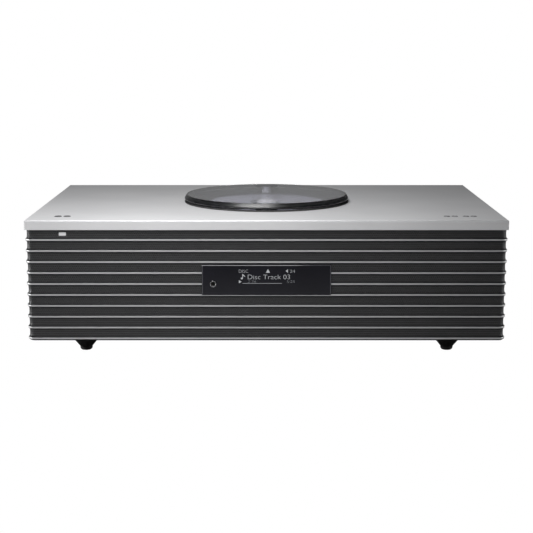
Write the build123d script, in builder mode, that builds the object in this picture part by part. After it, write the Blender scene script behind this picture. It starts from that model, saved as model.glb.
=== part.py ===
from build123d import *
import math
import os

# A one-box hifi: a slim cabinet with stereo woofers and tweeters behind a wrap-round finned grille,
# a subwoofer that fires at the floor, a top-loading disc player under a swivelling clear lid, a
# display window with a headphone jack, six keys in the aluminium top panel and sockets at the rear.
# Millimetres. The origin is on the floor under the middle, +X is to the listener's right, the front
# faces -Y and +Z is up.

# ---------------------------------------------------------------- driving dimensions
width, depth, height = 450.0, 280.0, 143.0
lid_rise = 8.0  # top of the lid above the top panel
panel_edge, panel_skin, panel_wall = 9.0, 3.0, 3.0
foot_height = 20.2
fin_count, fin_pitch = 10, 10.43
fin_root, fin_tip, fin_reach = 4.2, 2.0, 1.6  # height at the mesh, height at the edge, stand-out
gap = 0.3  # between pieces that must not touch

# ---------------------------------------------------------------- levels and outlines
body_bottom = foot_height
panel_top = height - lid_rise
panel_bottom = panel_top - panel_edge
skin_bottom = panel_top - panel_skin
panel_corner = 1.0

fin_x, fin_front = width / 2, -depth / 2 + gap  # the fins' outer edge
mesh_x, mesh_front = fin_x - fin_reach, fin_front + fin_reach
mesh_corner, mesh_thick = 5.0, 1.2
mesh_top = panel_bottom - 0.1
rear_face = 131.5  # where the grille ends and the rear panel begins
rear_thick = 3.0
lowest_fin = body_bottom + 2.5
fin_levels = [lowest_fin + n * fin_pitch for n in range(fin_count)]

base_thick = 3.6
base_top = body_bottom + base_thick
cabinet_x, cabinet_front = 220.0, -127.0
cabinet_top = skin_bottom - 0.2
wall = 3.0
bay_x = 92.0  # half width of the middle bays
shelf_bottom, shelf_top = 88.0, 91.0
divider_y = 30.0  # subwoofer chamber in front of it, electronics behind

# Display window, from the middle of the sixth fin from the top up to the third
window_x = 60.5
window_bottom, window_top = fin_levels[4], fin_levels[7] - fin_root / 2 - 0.05
window_front, window_thick = -depth / 2 + 0.1, 2.5
window_back = window_front + window_thick
jack_x, jack_z = -50.0, fin_levels[5]
jack_bore, jack_ring = 1.8, 2.9

# Lid, well and disc drive, all about the middle of the panel
lid_radius, lid_top_radius, lid_foot_radius = 84.4, 82.0, 83.2
lid_bottom, lid_skin, lid_wall = panel_top + 2.0, 3.0, 2.4
lid_under = height - lid_skin
pivot_y = 68.6  # the lid swings about a post behind the disc
post_radius, boss_radius, cap_radius = 5.0, 7.2, 12.5
washer_radius, washer_thick = 7.2, 0.7
running = 0.06  # radial clearance of a running fit
well_opening = 81.5  # hole in the top panel
well_wall_top = panel_top - 0.1
well_annulus = panel_top - 1.4
disc_floor = panel_top - 3.2
pocket_floor = well_annulus - 1.2  # pocket that holds the lid's washer
boss_bottom = pocket_floor + washer_thick + 0.05
recess_radius, recess_floor_radius = 61.0, 58.5
disc_seat = panel_top - 2.4  # underside of a disc on the hub

deck_bottom, deck_top = 112.0, 114.0  # the drive's sheet-metal deck
deck_mounts = [(-34.0, -66.0), (46.0, -60.0), (-34.0, 14.0), (46.0, 14.0)]
rod_x, rod_z, rod_radius = 24.0, 119.0, 1.5
rod_front, rod_back = -72.0, 0.0
lens_rest_y, sled_travel = -22.0, 34.0

# Feed gears: stub involute teeth of one module
module = 0.5
rack_teeth_span = 42.0
feed_teeth, drive_teeth, pinion_teeth = 16, 42, 14
feed_radius = module * feed_teeth / 2
gear_axis = (35.0, -38.0)
rack_line = gear_axis[0] - feed_radius
pinion_axis = (gear_axis[0], gear_axis[1] + module * (drive_teeth + pinion_teeth) / 2)

# Keys: name, x, cap radius
key_y = -113.0
keys = [
    ("power_key", -197.3, 3.5),
    ("source_key", -188.8, 3.5),
    ("volume_down_key", 170.9, 3.0),
    ("volume_up_key", 178.2, 3.0),
    ("stop_key", 188.9, 3.0),
    ("play_key", 196.2, 3.0),
]
key_proud, key_clearance = 0.35, 0.2

# Speakers: where they sit
woofer_x, woofer_z = 172.0, 74.0
tweeter_x, tweeter_z = 110.0, 92.0
sub_y, sub_flange_z = -40.0, base_top + 10.0
foot_x, foot_y = 177.0, 90.0
foot_places = [(-foot_x, -foot_y), (foot_x, -foot_y), (-foot_x, foot_y), (foot_x, foot_y)]
port_x, port_z, port_radius = 165.0, 92.0, 14.0
screw_places = [(x, y) for x in (-213, -99, 99, 213) for y in (-120, 124)]
screw_radius = 1.5

# Rear sockets on the main board, and the mains inlet on the power board
main_board_z, power_board_z, board_thick = 56.0, 29.0, 1.6
socket_floor = main_board_z + board_thick
lan_x, usb_x, optical_x, aux_x, aerial_x = 42.0, 16.0, -6.0, -26.0, (-46.0, -66.0)
inlet_x, inlet_z = 66.0, 40.0
socket_back = rear_face + rear_thick  # sockets end flush with the rear panel


def save(part, name):
    """Labels a finished piece and writes it as its own STEP file."""
    part.label = name
    export_step(part, f"parts/{name}.step")


def profile_plane(centre, points_to):
    """A plane for half a turned outline: x is the radius and y runs along points_to."""
    return Plane(origin=centre, x_dir=(1, 0, 0), z_dir=Vector(1, 0, 0).cross(Vector(*points_to)))


def gear_points(teeth, phase, addendum=0.8, dedendum=1.1, backlash=0.06):
    """Corners of a gear outline: straight-flanked chords of stub involute teeth, 20 degree pressure."""
    pitch_radius = module * teeth / 2
    base_radius = pitch_radius * math.cos(math.radians(20))
    roll = math.tan(math.radians(20)) - math.radians(20)

    def half_angle(radius):
        """Half a tooth's width at a radius, as an angle, from the involute of the base circle."""
        slope = math.acos(min(1.0, base_radius / radius))
        width_at_pitch = math.pi / (2 * teeth) - backlash / (2 * pitch_radius)
        return width_at_pitch + roll - (math.tan(slope) - slope)

    root, tip = pitch_radius - dedendum * module, pitch_radius + addendum * module
    flank = [(root, max(root, base_radius)), (pitch_radius, pitch_radius), (tip, tip)]
    points = []
    for tooth in range(teeth):
        middle = math.radians(phase) + tooth * 2 * math.pi / teeth
        side = [(r, half_angle(at)) for r, at in flank]
        for r, a in [(r, -a) for r, a in side] + [(r, a) for r, a in reversed(side)]:
            points.append((r * math.cos(middle + a), r * math.sin(middle + a)))
    return points


def dome(radius, level, rise):
    """A spherical arc from the rim of a dome (or dish, if rise is negative) to its middle."""
    sphere = (radius**2 + rise**2) / (2 * rise)
    half = sphere + level + rise - 2 * sphere
    side = math.copysign(math.sqrt(sphere**2 - radius**2 / 4), rise)
    ThreePointArc((radius, level), (radius / 2, half + side), (0, level + rise))


def driver(name, centre, fires, k, coil_radius):
    """A moving-coil driver: frame with magnet, cone with coil former and cap, and rubber surround.
    centre is the middle of the mounting flange's front face, and k scales an 80 mm driver."""
    axis = Axis(centre, fires)
    plane = profile_plane(centre, fires)
    hub = coil_radius + 1.0  # hole round the coil in the frame and the front plate
    with BuildPart() as frame:
        with BuildSketch(plane):
            with BuildLine():
                Polyline(
                    (36 * k, 0), (41 * k, 0), (41 * k, -2.5), (37.5 * k, -2.5), (26 * k, -16 * k),
                    (26 * k, -18 * k - 2), (hub, -18 * k - 2), (hub, -18 * k), (24 * k, -18 * k),
                    (24 * k, -15.5 * k), (35.5 * k, -2), (36 * k, 0),
                )
            make_face()
        revolve(axis=axis)
        with BuildSketch(Plane(origin=centre, x_dir=(1, 0, 0), z_dir=fires).offset(-16.5 * k)):
            with PolarLocations(31 * k, 4, 45):
                Rectangle(7 * k, 22 * k)
        extrude(amount=12 * k, mode=Mode.SUBTRACT)  # windows between the four legs
        with BuildSketch(Plane(origin=centre, x_dir=(1, 0, 0), z_dir=fires).offset(-2.5)):
            with PolarLocations(38.6 * k, 4):
                Circle(1.7)
        extrude(amount=2.5, mode=Mode.SUBTRACT)
    plate = -18 * k - 2
    with BuildPart() as magnet:
        with BuildSketch(plane):
            with BuildLine():
                Polyline(
                    (hub, plate), (24 * k, plate), (24 * k, plate - 3), (27 * k, plate - 3),
                    (27 * k, plate - 13 * k), (24 * k, plate - 13 * k), (24 * k, plate - 13 * k - 4),
                    (0, plate - 13 * k - 4), (0, plate), (coil_radius - 0.9, plate),
                    (coil_radius - 0.9, plate - 13 * k), (coil_radius + 3, plate - 13 * k),
                    (coil_radius + 3, plate - 3), (hub, plate - 3), (hub, plate),
                )
            make_face()
        revolve(axis=axis)
    neck = -11.5 * k  # where the cone meets the coil former
    with BuildPart() as cone:
        with BuildSketch(plane):
            with BuildLine():
                Polyline(
                    (29.5 * k, -1.2), (31 * k, -0.4), (31 * k, 0), (29 * k, -0.2),
                    (coil_radius + 0.4, neck + 0.9),
                )
                dome(coil_radius + 0.4, neck + 0.9, coil_radius * 0.42)
                Polyline(
                    (0, neck + 0.9 + coil_radius * 0.42), (0, neck + 0.3 + coil_radius * 0.42),
                    (coil_radius - 0.4, neck), (coil_radius - 0.4, plate - 5),
                    (coil_radius, plate - 5), (coil_radius, neck), (29.5 * k, -1.2),
                )
            make_face()
        revolve(axis=axis)
    with BuildPart() as surround:
        roll_in, roll_out = 31 * k + 0.05, 36 * k - 0.05
        middle, rise = (roll_in + roll_out) / 2, (roll_out - roll_in) / 2
        with BuildSketch(plane):
            with BuildLine():
                ThreePointArc((roll_in, 0), (middle, rise), (roll_out, 0))
                Line((roll_out, 0), (roll_out - 0.6, -0.1))
                ThreePointArc((roll_out - 0.6, -0.1), (middle, rise - 0.7), (roll_in + 0.6, -0.1))
                Line((roll_in + 0.6, -0.1), (roll_in, 0))
            make_face()
        revolve(axis=axis)
    both = Compound(children=[frame.part, magnet.part])
    save(both, f"{name}_frame")
    save(cone.part, f"{name}_cone")
    save(surround.part, f"{name}_surround")


os.makedirs("parts", exist_ok=True)

# ---------------------------------------------------------------- top panel
# One aluminium tray turned upside down: a thick skin with a deep visible edge.
with BuildPart() as top_panel:
    with BuildSketch(Plane.XY.offset(panel_bottom)):
        RectangleRounded(width, depth, panel_corner)
    extrude(amount=panel_edge)
    with BuildSketch(Plane.XY.offset(panel_bottom)):
        RectangleRounded(width - 2 * panel_wall, depth - 2 * panel_wall, panel_corner / 2)
    extrude(amount=panel_edge - panel_skin, mode=Mode.SUBTRACT)
    with BuildSketch(Plane.XY.offset(skin_bottom)):
        Circle(well_opening)
        for _, key_x, key_radius in keys:
            with Locations((key_x, key_y)):
                Circle(key_radius + key_clearance)
    extrude(amount=panel_skin, mode=Mode.SUBTRACT)
    outer_edges = top_panel.faces().sort_by(Axis.Z)[-1].outer_wire().edges()
    chamfer(outer_edges, 0.8)
save(top_panel.part, "top_panel")

# ---------------------------------------------------------------- grille: mesh and fins
# The mesh is a perforated sheet bent round the front and both sides. The fins lie on it.
with BuildPart() as grille_mesh:
    with BuildSketch(Plane.XY.offset(body_bottom + 0.2)):
        with Locations((0, (mesh_front + depth / 2) / 2)):
            RectangleRounded(2 * mesh_x, depth / 2 - mesh_front, mesh_corner)
            inner_x, inner_y = 2 * (mesh_x - mesh_thick), depth / 2 - mesh_front - 2 * mesh_thick
            RectangleRounded(inner_x, inner_y, mesh_corner - mesh_thick, mode=Mode.SUBTRACT)
        with Locations((0, rear_face + 20)):
            Rectangle(width, 40, mode=Mode.SUBTRACT)
    extrude(amount=mesh_top - body_bottom - 0.2)
    with BuildSketch(Plane.XZ.offset(-mesh_front - mesh_thick - 1)):
        with Locations((0, (window_bottom + window_top) / 2)):
            Rectangle(2 * (window_x + 0.1), window_top - window_bottom + 0.1)
    extrude(amount=mesh_thick + 2, mode=Mode.SUBTRACT)
save(grille_mesh.part, "grille_mesh")

with BuildLine() as fin_path:
    FilletPolyline(
        (-mesh_x, rear_face), (-mesh_x, mesh_front), (mesh_x, mesh_front), (mesh_x, rear_face),
        radius=mesh_corner,
    )
with BuildPart() as grille_fins:
    for level in fin_levels:
        start = Plane(origin=(-mesh_x, rear_face, level), x_dir=(-1, 0, 0), z_dir=(0, -1, 0))
        with BuildSketch(start):
            with BuildLine():
                Polyline(
                    (0, -fin_root / 2), (fin_reach, -fin_tip / 2), (fin_reach, fin_tip / 2),
                    (0, fin_root / 2), (0, -fin_root / 2),
                )
            make_face()
        sweep(path=fin_path.line.moved(Location((0, 0, level))))
    with BuildSketch(Plane.XY.offset(window_bottom - 0.05)):
        with Locations((0, mesh_front - 3)):
            Rectangle(2 * (window_x + 0.1), 10)
    extrude(amount=window_top - window_bottom + 0.1, mode=Mode.SUBTRACT)
save(grille_fins.part, "grille_fins")

# A blank badge on the band under the panel's edge
with BuildPart() as front_badge:
    with BuildSketch(Plane.XZ.offset(-mesh_front)):
        with Locations((-189.7, panel_bottom - 3.9)):
            RectangleRounded(6.6, 3.2, 0.6)
    extrude(amount=0.5)
save(front_badge.part, "front_badge")

# ---------------------------------------------------------------- cabinet
with BuildPart() as cabinet:
    with BuildSketch(Plane.XY.offset(base_top)):
        with Locations((0, (cabinet_front + rear_face) / 2)):
            RectangleRounded(2 * cabinet_x, rear_face - cabinet_front, 4)
    extrude(amount=cabinet_top - base_top)
    chamber_x = cabinet_x - wall
    inner_front, inner_back = cabinet_front + wall, rear_face - wall
    with BuildSketch(Plane.XY.offset(base_top)):  # left and right speaker chambers
        with Locations(
            (-(chamber_x + bay_x + wall) / 2, (inner_front + inner_back) / 2),
            ((chamber_x + bay_x + wall) / 2, (inner_front + inner_back) / 2),
        ):
            Rectangle(chamber_x - bay_x - wall, inner_back - inner_front)
    extrude(amount=cabinet_top - wall - base_top, mode=Mode.SUBTRACT)
    with BuildSketch(Plane.XY.offset(base_top)):  # subwoofer chamber
        with Locations((0, (inner_front + divider_y) / 2)):
            Rectangle(2 * bay_x, divider_y - inner_front)
    extrude(amount=shelf_bottom - base_top, mode=Mode.SUBTRACT)
    with BuildSketch(Plane.XY.offset(base_top)):  # electronics bay, open at the rear
        with Locations((0, (divider_y + wall + rear_face) / 2)):
            Rectangle(2 * bay_x, rear_face - divider_y - wall)
    extrude(amount=shelf_bottom - base_top, mode=Mode.SUBTRACT)
    with BuildSketch(Plane.XY.offset(shelf_top)):  # disc drive bay
        with Locations((0, (inner_front + inner_back) / 2)):
            Rectangle(2 * bay_x, inner_back - inner_front)
    extrude(amount=cabinet_top - wall - shelf_top, mode=Mode.SUBTRACT)
    with BuildSketch(Plane.XY.offset(cabinet_top - wall)):  # openings in the roof
        Circle(88.5)
        with Locations((-193, key_y)):
            Rectangle(24, 16)
        with Locations((183.5, key_y)):
            Rectangle(38, 16)
    extrude(amount=wall, mode=Mode.SUBTRACT)
    with BuildSketch(Plane.XY.offset(base_top)):  # pillars for the case screws
        with Locations(*screw_places):
            Circle(4.5)
    extrude(amount=16)
    with BuildSketch(Plane.XY.offset(base_top)):
        with Locations(*screw_places):
            Circle(screw_radius)
    extrude(amount=12, mode=Mode.SUBTRACT)
    with BuildSketch(Plane.XZ.offset(-inner_front)):  # openings in the front baffle
        with Locations((-woofer_x, woofer_z), (woofer_x, woofer_z)):
            Circle(38)
        with Locations((-tweeter_x, tweeter_z), (tweeter_x, tweeter_z)):
            Circle(12.5)
        with Locations((0, (window_bottom + window_top) / 2)):
            Rectangle(112, 22)
    extrude(amount=wall, mode=Mode.SUBTRACT)
    with BuildSketch(Plane.XZ.offset(-rear_face)):  # reflex ports in the rear wall
        with Locations((-port_x, port_z), (port_x, port_z)):
            Circle(port_radius + 0.1)
    extrude(amount=wall, mode=Mode.SUBTRACT)
save(cabinet.part, "cabinet")

with BuildPart() as base_plate:
    with BuildSketch(Plane.XY.offset(body_bottom)):
        with Locations((0, (mesh_front + mesh_thick + 0.3 + rear_face) / 2)):
            RectangleRounded(
                2 * (mesh_x - mesh_thick - 0.3), rear_face - mesh_front - mesh_thick - 0.3, 4.5
            )
    extrude(amount=base_thick)
    with BuildSketch(Plane.XY.offset(base_top)):  # raised ring that the subwoofer hangs on
        with Locations((0, sub_y)):
            Circle(61.5)
    extrude(amount=sub_flange_z - base_top)
    with BuildSketch(Plane.XY.offset(body_bottom)):
        with Locations((0, sub_y)):
            Circle(54)
        with Locations((74, sub_y + 52)):
            Circle(12.1)
    extrude(amount=sub_flange_z - body_bottom, mode=Mode.SUBTRACT)
    with BuildSketch(Plane.XY.offset(body_bottom)):
        with Locations(*foot_places):
            Circle(2.2)
        with Locations(*screw_places):
            Circle(screw_radius)
    extrude(amount=base_thick, mode=Mode.SUBTRACT)
save(base_plate.part, "base_plate")

# Guard in front of the downward cone: three rings on six spokes
with BuildPart() as subwoofer_guard:
    with BuildSketch(Plane.XY.offset(body_bottom)):
        with Locations((0, sub_y)):
            for radius in (53.9, 37.0, 20.0):
                Circle(radius)
                Circle(radius - 2.4, mode=Mode.SUBTRACT)
            with PolarLocations(27.5, 6):
                Rectangle(49, 2)
            Circle(4)
    extrude(amount=1.5)
save(subwoofer_guard.part, "subwoofer_guard")

# Reflex tubes: one from each side chamber to the rear, one from the bass chamber to the floor
with BuildPart() as bass_ports:
    for side in (-1, 1):
        mouth = (side * port_x, rear_face + rear_thick, port_z)
        with BuildSketch(profile_plane(mouth, (0, 1, 0))):
            with BuildLine():
                Polyline((port_radius - 2, -62), (port_radius - 2, -4))
                ThreePointArc((port_radius - 2, -4), (port_radius - 0.8, -0.3), (port_radius + 3, 1.2))
                Polyline(
                    (port_radius + 3, 1.2), (port_radius + 3, 0), (port_radius, 0),
                    (port_radius, -62), (port_radius - 2, -62),
                )
            make_face()
        revolve(axis=Axis(mouth, (0, 1, 0)))
    floor_mouth = (74, sub_y + 52, body_bottom)
    with BuildSketch(profile_plane(floor_mouth, (0, 0, 1))):
        with Locations((11, 27)):
            Rectangle(2, 54)
    revolve(axis=Axis(floor_mouth, (0, 0, 1)))
save(bass_ports.part, "bass_ports")

# ---------------------------------------------------------------- feet
with BuildPart() as feet:
    for x, y in foot_places:
        with BuildSketch(profile_plane((x, y, 0), (0, 0, 1))):
            with BuildLine():
                Polyline(
                    (0, 3.5), (6, 3.5), (18.4, foot_height - 1.6), (18.4, foot_height - 0.3),
                    (18.1, foot_height), (2.1, foot_height), (2.1, foot_height + base_thick),
                    (0, foot_height + base_thick), (0, 3.5),
                )
            make_face()
        revolve(axis=Axis((x, y, 0), (0, 0, 1)))
save(feet.part, "feet")

with BuildPart() as foot_pads:
    for x, y in foot_places:
        with BuildSketch(profile_plane((x, y, 0), (0, 0, 1))):
            with BuildLine():
                Line((0, 0), (4.1, 0))
                ThreePointArc((4.1, 0), (5.4, 0.8), (6, 2.6))
                Polyline((6, 2.6), (6, 3.5), (0, 3.5), (0, 0))
            make_face()
        revolve(axis=Axis((x, y, 0), (0, 0, 1)))
save(foot_pads.part, "foot_pads")

# ---------------------------------------------------------------- display window and jack
window_middle = (window_bottom + window_top) / 2
with BuildPart() as display_window:
    with BuildSketch(Plane.XZ.offset(-window_back)):
        with Locations((0, window_middle)):
            Rectangle(2 * window_x, window_top - window_bottom)
        with Locations((jack_x, jack_z)):
            Circle(jack_ring + 0.05, mode=Mode.SUBTRACT)
    extrude(amount=window_thick)
    front_face = display_window.faces().sort_by(Axis.Y)[0]
    top_edge = front_face.outer_wire().edges().sort_by(Axis.Z)[-1]
    chamfer(top_edge, 1.2)
save(display_window.part, "display_window")

# Tray that carries the window, reaches back through the mesh and is screwed to the baffle
tray_x, tray_low, tray_high = window_x - 1, window_bottom + 2.4, window_top - 1
glass_thick = 2.4
glass_back = window_back + 0.2 + glass_thick
board_back_y = glass_back + board_thick
with BuildPart() as display_tray:
    with BuildSketch(Plane.XZ.offset(-cabinet_front)):
        with Locations((0, (tray_low + tray_high) / 2)):
            Rectangle(2 * tray_x, tray_high - tray_low)
    extrude(amount=cabinet_front - window_back)
    with BuildSketch(Plane.XZ.offset(-board_back_y)):
        with Locations((10, (tray_low + tray_high) / 2)):
            Rectangle(90, tray_high - tray_low - 3)
    extrude(amount=board_back_y - window_back, mode=Mode.SUBTRACT)
    with BuildSketch(Plane.XZ.offset(-cabinet_front)):
        with Locations((jack_x, jack_z)):
            Circle(jack_ring + 0.1)
        with Locations((10, (tray_low + tray_high) / 2)):
            Rectangle(40, 8)
    extrude(amount=cabinet_front - window_back, mode=Mode.SUBTRACT)
save(display_tray.part, "display_tray")

with BuildPart() as display_module:
    with BuildSketch(Plane.XZ.offset(-glass_back)):
        with Locations((8, (tray_low + tray_high) / 2)):
            Rectangle(70, 20)
    extrude(amount=glass_thick)
    with BuildSketch(Plane.XZ.offset(-board_back_y)):
        with Locations((10, (tray_low + tray_high) / 2)):
            Rectangle(84, 22)
    extrude(amount=board_thick)
save(display_module.part, "display_module")

jack_front = (jack_x, window_front - 0.05, jack_z)
with BuildPart() as headphone_jack:
    with BuildSketch(profile_plane(jack_front, (0, -1, 0))):
        with BuildLine():
            Polyline(
                (jack_bore + 0.2, 0), (jack_ring - 0.2, 0), (jack_ring, -0.2), (jack_ring, -13),
                (jack_ring + 1.4, -13), (jack_ring + 1.4, -24), (0, -24), (0, -16),
                (jack_bore, -16), (jack_bore, -0.2), (jack_bore + 0.2, 0),
            )
        make_face()
    revolve(axis=Axis(jack_front, (0, -1, 0)))
save(headphone_jack.part, "headphone_jack")

# ---------------------------------------------------------------- lid and its pivot
with BuildPart() as cd_lid:
    with BuildSketch(profile_plane((0, 0, 0), (0, 0, 1))):
        with BuildLine():
            Polyline(
                (0, height), (lid_top_radius - 0.5, height), (lid_top_radius, height - 0.3),
                (lid_radius, lid_bottom + 2.6), (lid_radius, lid_bottom + 1.9),
                (lid_foot_radius, lid_bottom), (lid_foot_radius - lid_wall, lid_bottom),
                (lid_foot_radius - lid_wall, lid_under - 0.6),
                (lid_foot_radius - lid_wall - 0.6, lid_under), (0, lid_under), (0, height),
            )
        make_face()
    revolve(axis=Axis.Z)
    with BuildSketch(Plane.XY.offset(boss_bottom)):
        with Locations((0, pivot_y)):
            Circle(boss_radius)
    extrude(amount=lid_under - boss_bottom)
    with BuildSketch(Plane.XY.offset(boss_bottom)):
        with Locations((0, pivot_y)):
            Circle(post_radius + running)
    extrude(amount=height, mode=Mode.SUBTRACT)
    with BuildSketch(Plane.XY.offset(height - 1.0)):
        with Locations((0, pivot_y)):
            Circle(cap_radius + gap)
    extrude(amount=1.0, mode=Mode.SUBTRACT)
save(cd_lid.part, "cd_lid")

well_under = well_annulus - 2.2
with BuildPart() as lid_pivot_post:
    with BuildSketch(Plane.XY.offset(well_under - 2.4)):
        with Locations((0, pivot_y)):
            Circle(5.9)
    extrude(amount=2.4)
    with BuildSketch(Plane.XY.offset(well_under)):
        with Locations((0, pivot_y)):
            Circle(post_radius)
    extrude(amount=height - 0.8 - well_under)
    with BuildSketch(Plane.XY.offset(height - 8)):
        with Locations((0, pivot_y)):
            Circle(2.0)
    extrude(amount=8, mode=Mode.SUBTRACT)
save(lid_pivot_post.part, "lid_pivot_post")

with BuildPart() as lid_pivot_cap:
    with BuildSketch(Plane.XY.offset(height - 0.8)):
        with Locations((0, pivot_y)):
            Circle(cap_radius)
    extrude(amount=0.8)
    with BuildSketch(Plane.XY.offset(height - 7.5)):
        with Locations((0, pivot_y)):
            Circle(1.98)
    extrude(amount=6.7)
save(lid_pivot_cap.part, "lid_pivot_cap")

with BuildPart() as lid_washer:
    with BuildSketch(Plane.XY.offset(pocket_floor)):
        with Locations((0, pivot_y)):
            Circle(washer_radius)
            Circle(post_radius + 0.2, mode=Mode.SUBTRACT)
    extrude(amount=washer_thick)
save(lid_washer.part, "lid_washer")

# ---------------------------------------------------------------- disc well
with BuildPart() as lid_seat_ring:
    with BuildSketch(profile_plane((0, 0, 0), (0, 0, 1))):
        with BuildLine():
            Polyline(
                (79.4, panel_top), (79.4, panel_top + 1.0), (80.0, panel_top + 1.4),
                (83.6, panel_top + 1.4), (84.2, panel_top + 0.9), (84.2, panel_top),
                (79.4, panel_top),
            )
        make_face()
    revolve(axis=Axis.Z)
save(lid_seat_ring.part, "lid_seat_ring")

with BuildPart() as disc_well:
    with BuildSketch(profile_plane((0, 0, 0), (0, 0, 1))):
        with BuildLine():
            Polyline(
                (17, disc_floor), (recess_floor_radius, disc_floor),
                (recess_radius, well_annulus), (79.4, well_annulus), (79.4, well_wall_top),
                (81.2, well_wall_top), (81.2, skin_bottom - 0.2), (88, skin_bottom - 0.2),
                (88, skin_bottom - 2.4), (79, skin_bottom - 2.4), (79, well_under),
                (62, well_under), (60.2, disc_floor - 2), (17, disc_floor - 2), (17, disc_floor),
            )
        make_face()
    revolve(axis=Axis.Z)
    for x, y in deck_mounts:  # bosses that the drive hangs from
        under = disc_floor if math.hypot(x, y) < recess_floor_radius else well_annulus
        with BuildSketch(Plane.XY.offset(deck_top + 2.4)):
            with Locations((x, y)):
                Circle(4)
        extrude(amount=under - 1 - deck_top - 2.4)
        with BuildSketch(Plane.XY.offset(deck_top + 2.4)):
            with Locations((x, y)):
                Circle(1.5)
        extrude(amount=9, mode=Mode.SUBTRACT)
    with BuildSketch(Plane.XY.offset(disc_floor - 2)):  # slot for the pickup
        with Locations((0, -36)):
            SlotOverall(50, 22, rotation=90)
    extrude(amount=2, mode=Mode.SUBTRACT)
    with BuildSketch(Plane.XY.offset(pocket_floor)):  # pocket for the pivot washer
        with Locations((0, pivot_y)):
            Circle(washer_radius + 0.35)
    extrude(amount=well_annulus - pocket_floor, mode=Mode.SUBTRACT)
    with BuildSketch(Plane.XY.offset(well_under)):
        with Locations((0, pivot_y)):
            Circle(post_radius + 0.05)
    extrude(amount=4, mode=Mode.SUBTRACT)
save(disc_well.part, "disc_well")

# ---------------------------------------------------------------- disc drive
with BuildPart() as drive_deck:
    with BuildSketch(Plane.XY.offset(deck_bottom)):
        with Locations((6, -29)):
            RectangleRounded(96, 102, 4)
        with Locations(*deck_mounts):
            Circle(4.1, mode=Mode.SUBTRACT)
        with Locations((0, 0)):
            Circle(3, mode=Mode.SUBTRACT)
        with Locations(pinion_axis):
            Circle(2.5, mode=Mode.SUBTRACT)
        with Locations((-4, -44)):
            RectangleRounded(30, 40, 2, mode=Mode.SUBTRACT)
    extrude(amount=deck_top - deck_bottom)
    for lug_y in (rod_front + 1.5, rod_back - 1.5):
        for side in (-1, 1):
            with BuildSketch(Plane.XY.offset(deck_top)):
                with Locations((side * rod_x, lug_y)):
                    Rectangle(6, 3)
            extrude(amount=7.5)
    for side in (-1, 1):
        with BuildSketch(Plane.XZ.offset(-rod_back - 1)):
            with Locations((side * rod_x, rod_z)):
                Circle(rod_radius + 0.01)
        extrude(amount=rod_back - rod_front + 2, mode=Mode.SUBTRACT)
    with BuildSketch(Plane.XY.offset(deck_top)):  # fixed pin of the feed gear
        with Locations(gear_axis):
            Circle(1.0)
    extrude(amount=6.4)
save(drive_deck.part, "drive_deck")

with BuildPart() as deck_dampers:  # rubber grommets that isolate the deck
    for x, y in deck_mounts:
        with BuildSketch(profile_plane((x, y, deck_bottom), (0, 0, 1))):
            with BuildLine():
                Polyline(
                    (2.1, -2), (6, -2), (6, 0), (4, 0), (4, 2), (6, 2), (6, 4.3), (2.1, 4.3),
                    (2.1, -2),
                )
            make_face()
        revolve(axis=Axis((x, y, 0), (0, 0, 1)))
save(deck_dampers.part, "deck_dampers")

with BuildPart() as deck_screws:  # shoulder screws through the grommets into the bosses
    for x, y in deck_mounts:
        with BuildSketch(profile_plane((x, y, deck_bottom - 2), (0, 0, 1))):
            with BuildLine():
                Polyline(
                    (0, -2), (4.5, -2), (4.5, -0.05), (2.05, -0.05), (2.05, 6.3), (1.45, 6.3),
                    (1.45, 14), (0, 14), (0, -2),
                )
            make_face()
        revolve(axis=Axis((x, y, 0), (0, 0, 1)))
save(deck_screws.part, "deck_screws")

with BuildPart() as guide_rods:
    for side in (-1, 1):
        with BuildSketch(Plane.XZ.offset(-rod_back)):
            with Locations((side * rod_x, rod_z)):
                Circle(rod_radius)
        extrude(amount=rod_back - rod_front)
save(guide_rods.part, "guide_rods")

spindle_shaft = 1.0
disc_pin = 7.42  # fits the disc's 15 mm hole
with BuildPart() as spindle_motor:
    with BuildSketch(Plane.XY.offset(deck_bottom - 8)):
        Circle(12)
    extrude(amount=8)
    fillet(spindle_motor.edges().group_by(Axis.Z)[0], 1)
    with BuildSketch(Plane.XY.offset(deck_bottom - 7)):
        Circle(spindle_shaft + running)
    extrude(amount=7, mode=Mode.SUBTRACT)
save(spindle_motor.part, "spindle_motor")

with BuildPart() as spindle_hub:
    with BuildSketch(profile_plane((0, 0, 0), (0, 0, 1))):
        with BuildLine():
            Polyline(
                (0, deck_bottom - 6.5), (spindle_shaft, deck_bottom - 6.5),
                (spindle_shaft, deck_top + 3), (4, deck_top + 3), (4, disc_seat - 2.2),
                (10.5, disc_seat - 2.2), (10.5, disc_seat - 0.3), (10.2, disc_seat),
                (disc_pin, disc_seat), (disc_pin, disc_seat + 1.3),
            )
            dome(disc_pin, disc_seat + 1.3, 1.3)
            Line((0, disc_seat + 2.6), (0, deck_bottom - 6.5))
        make_face()
    revolve(axis=Axis.Z)
    with Locations((0, 0, disc_seat + 1.6)):
        with PolarLocations(disc_pin - 0.75, 3, 90):
            Sphere(0.8)  # chuck balls that hold the disc
save(spindle_hub.part, "spindle_hub")

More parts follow.
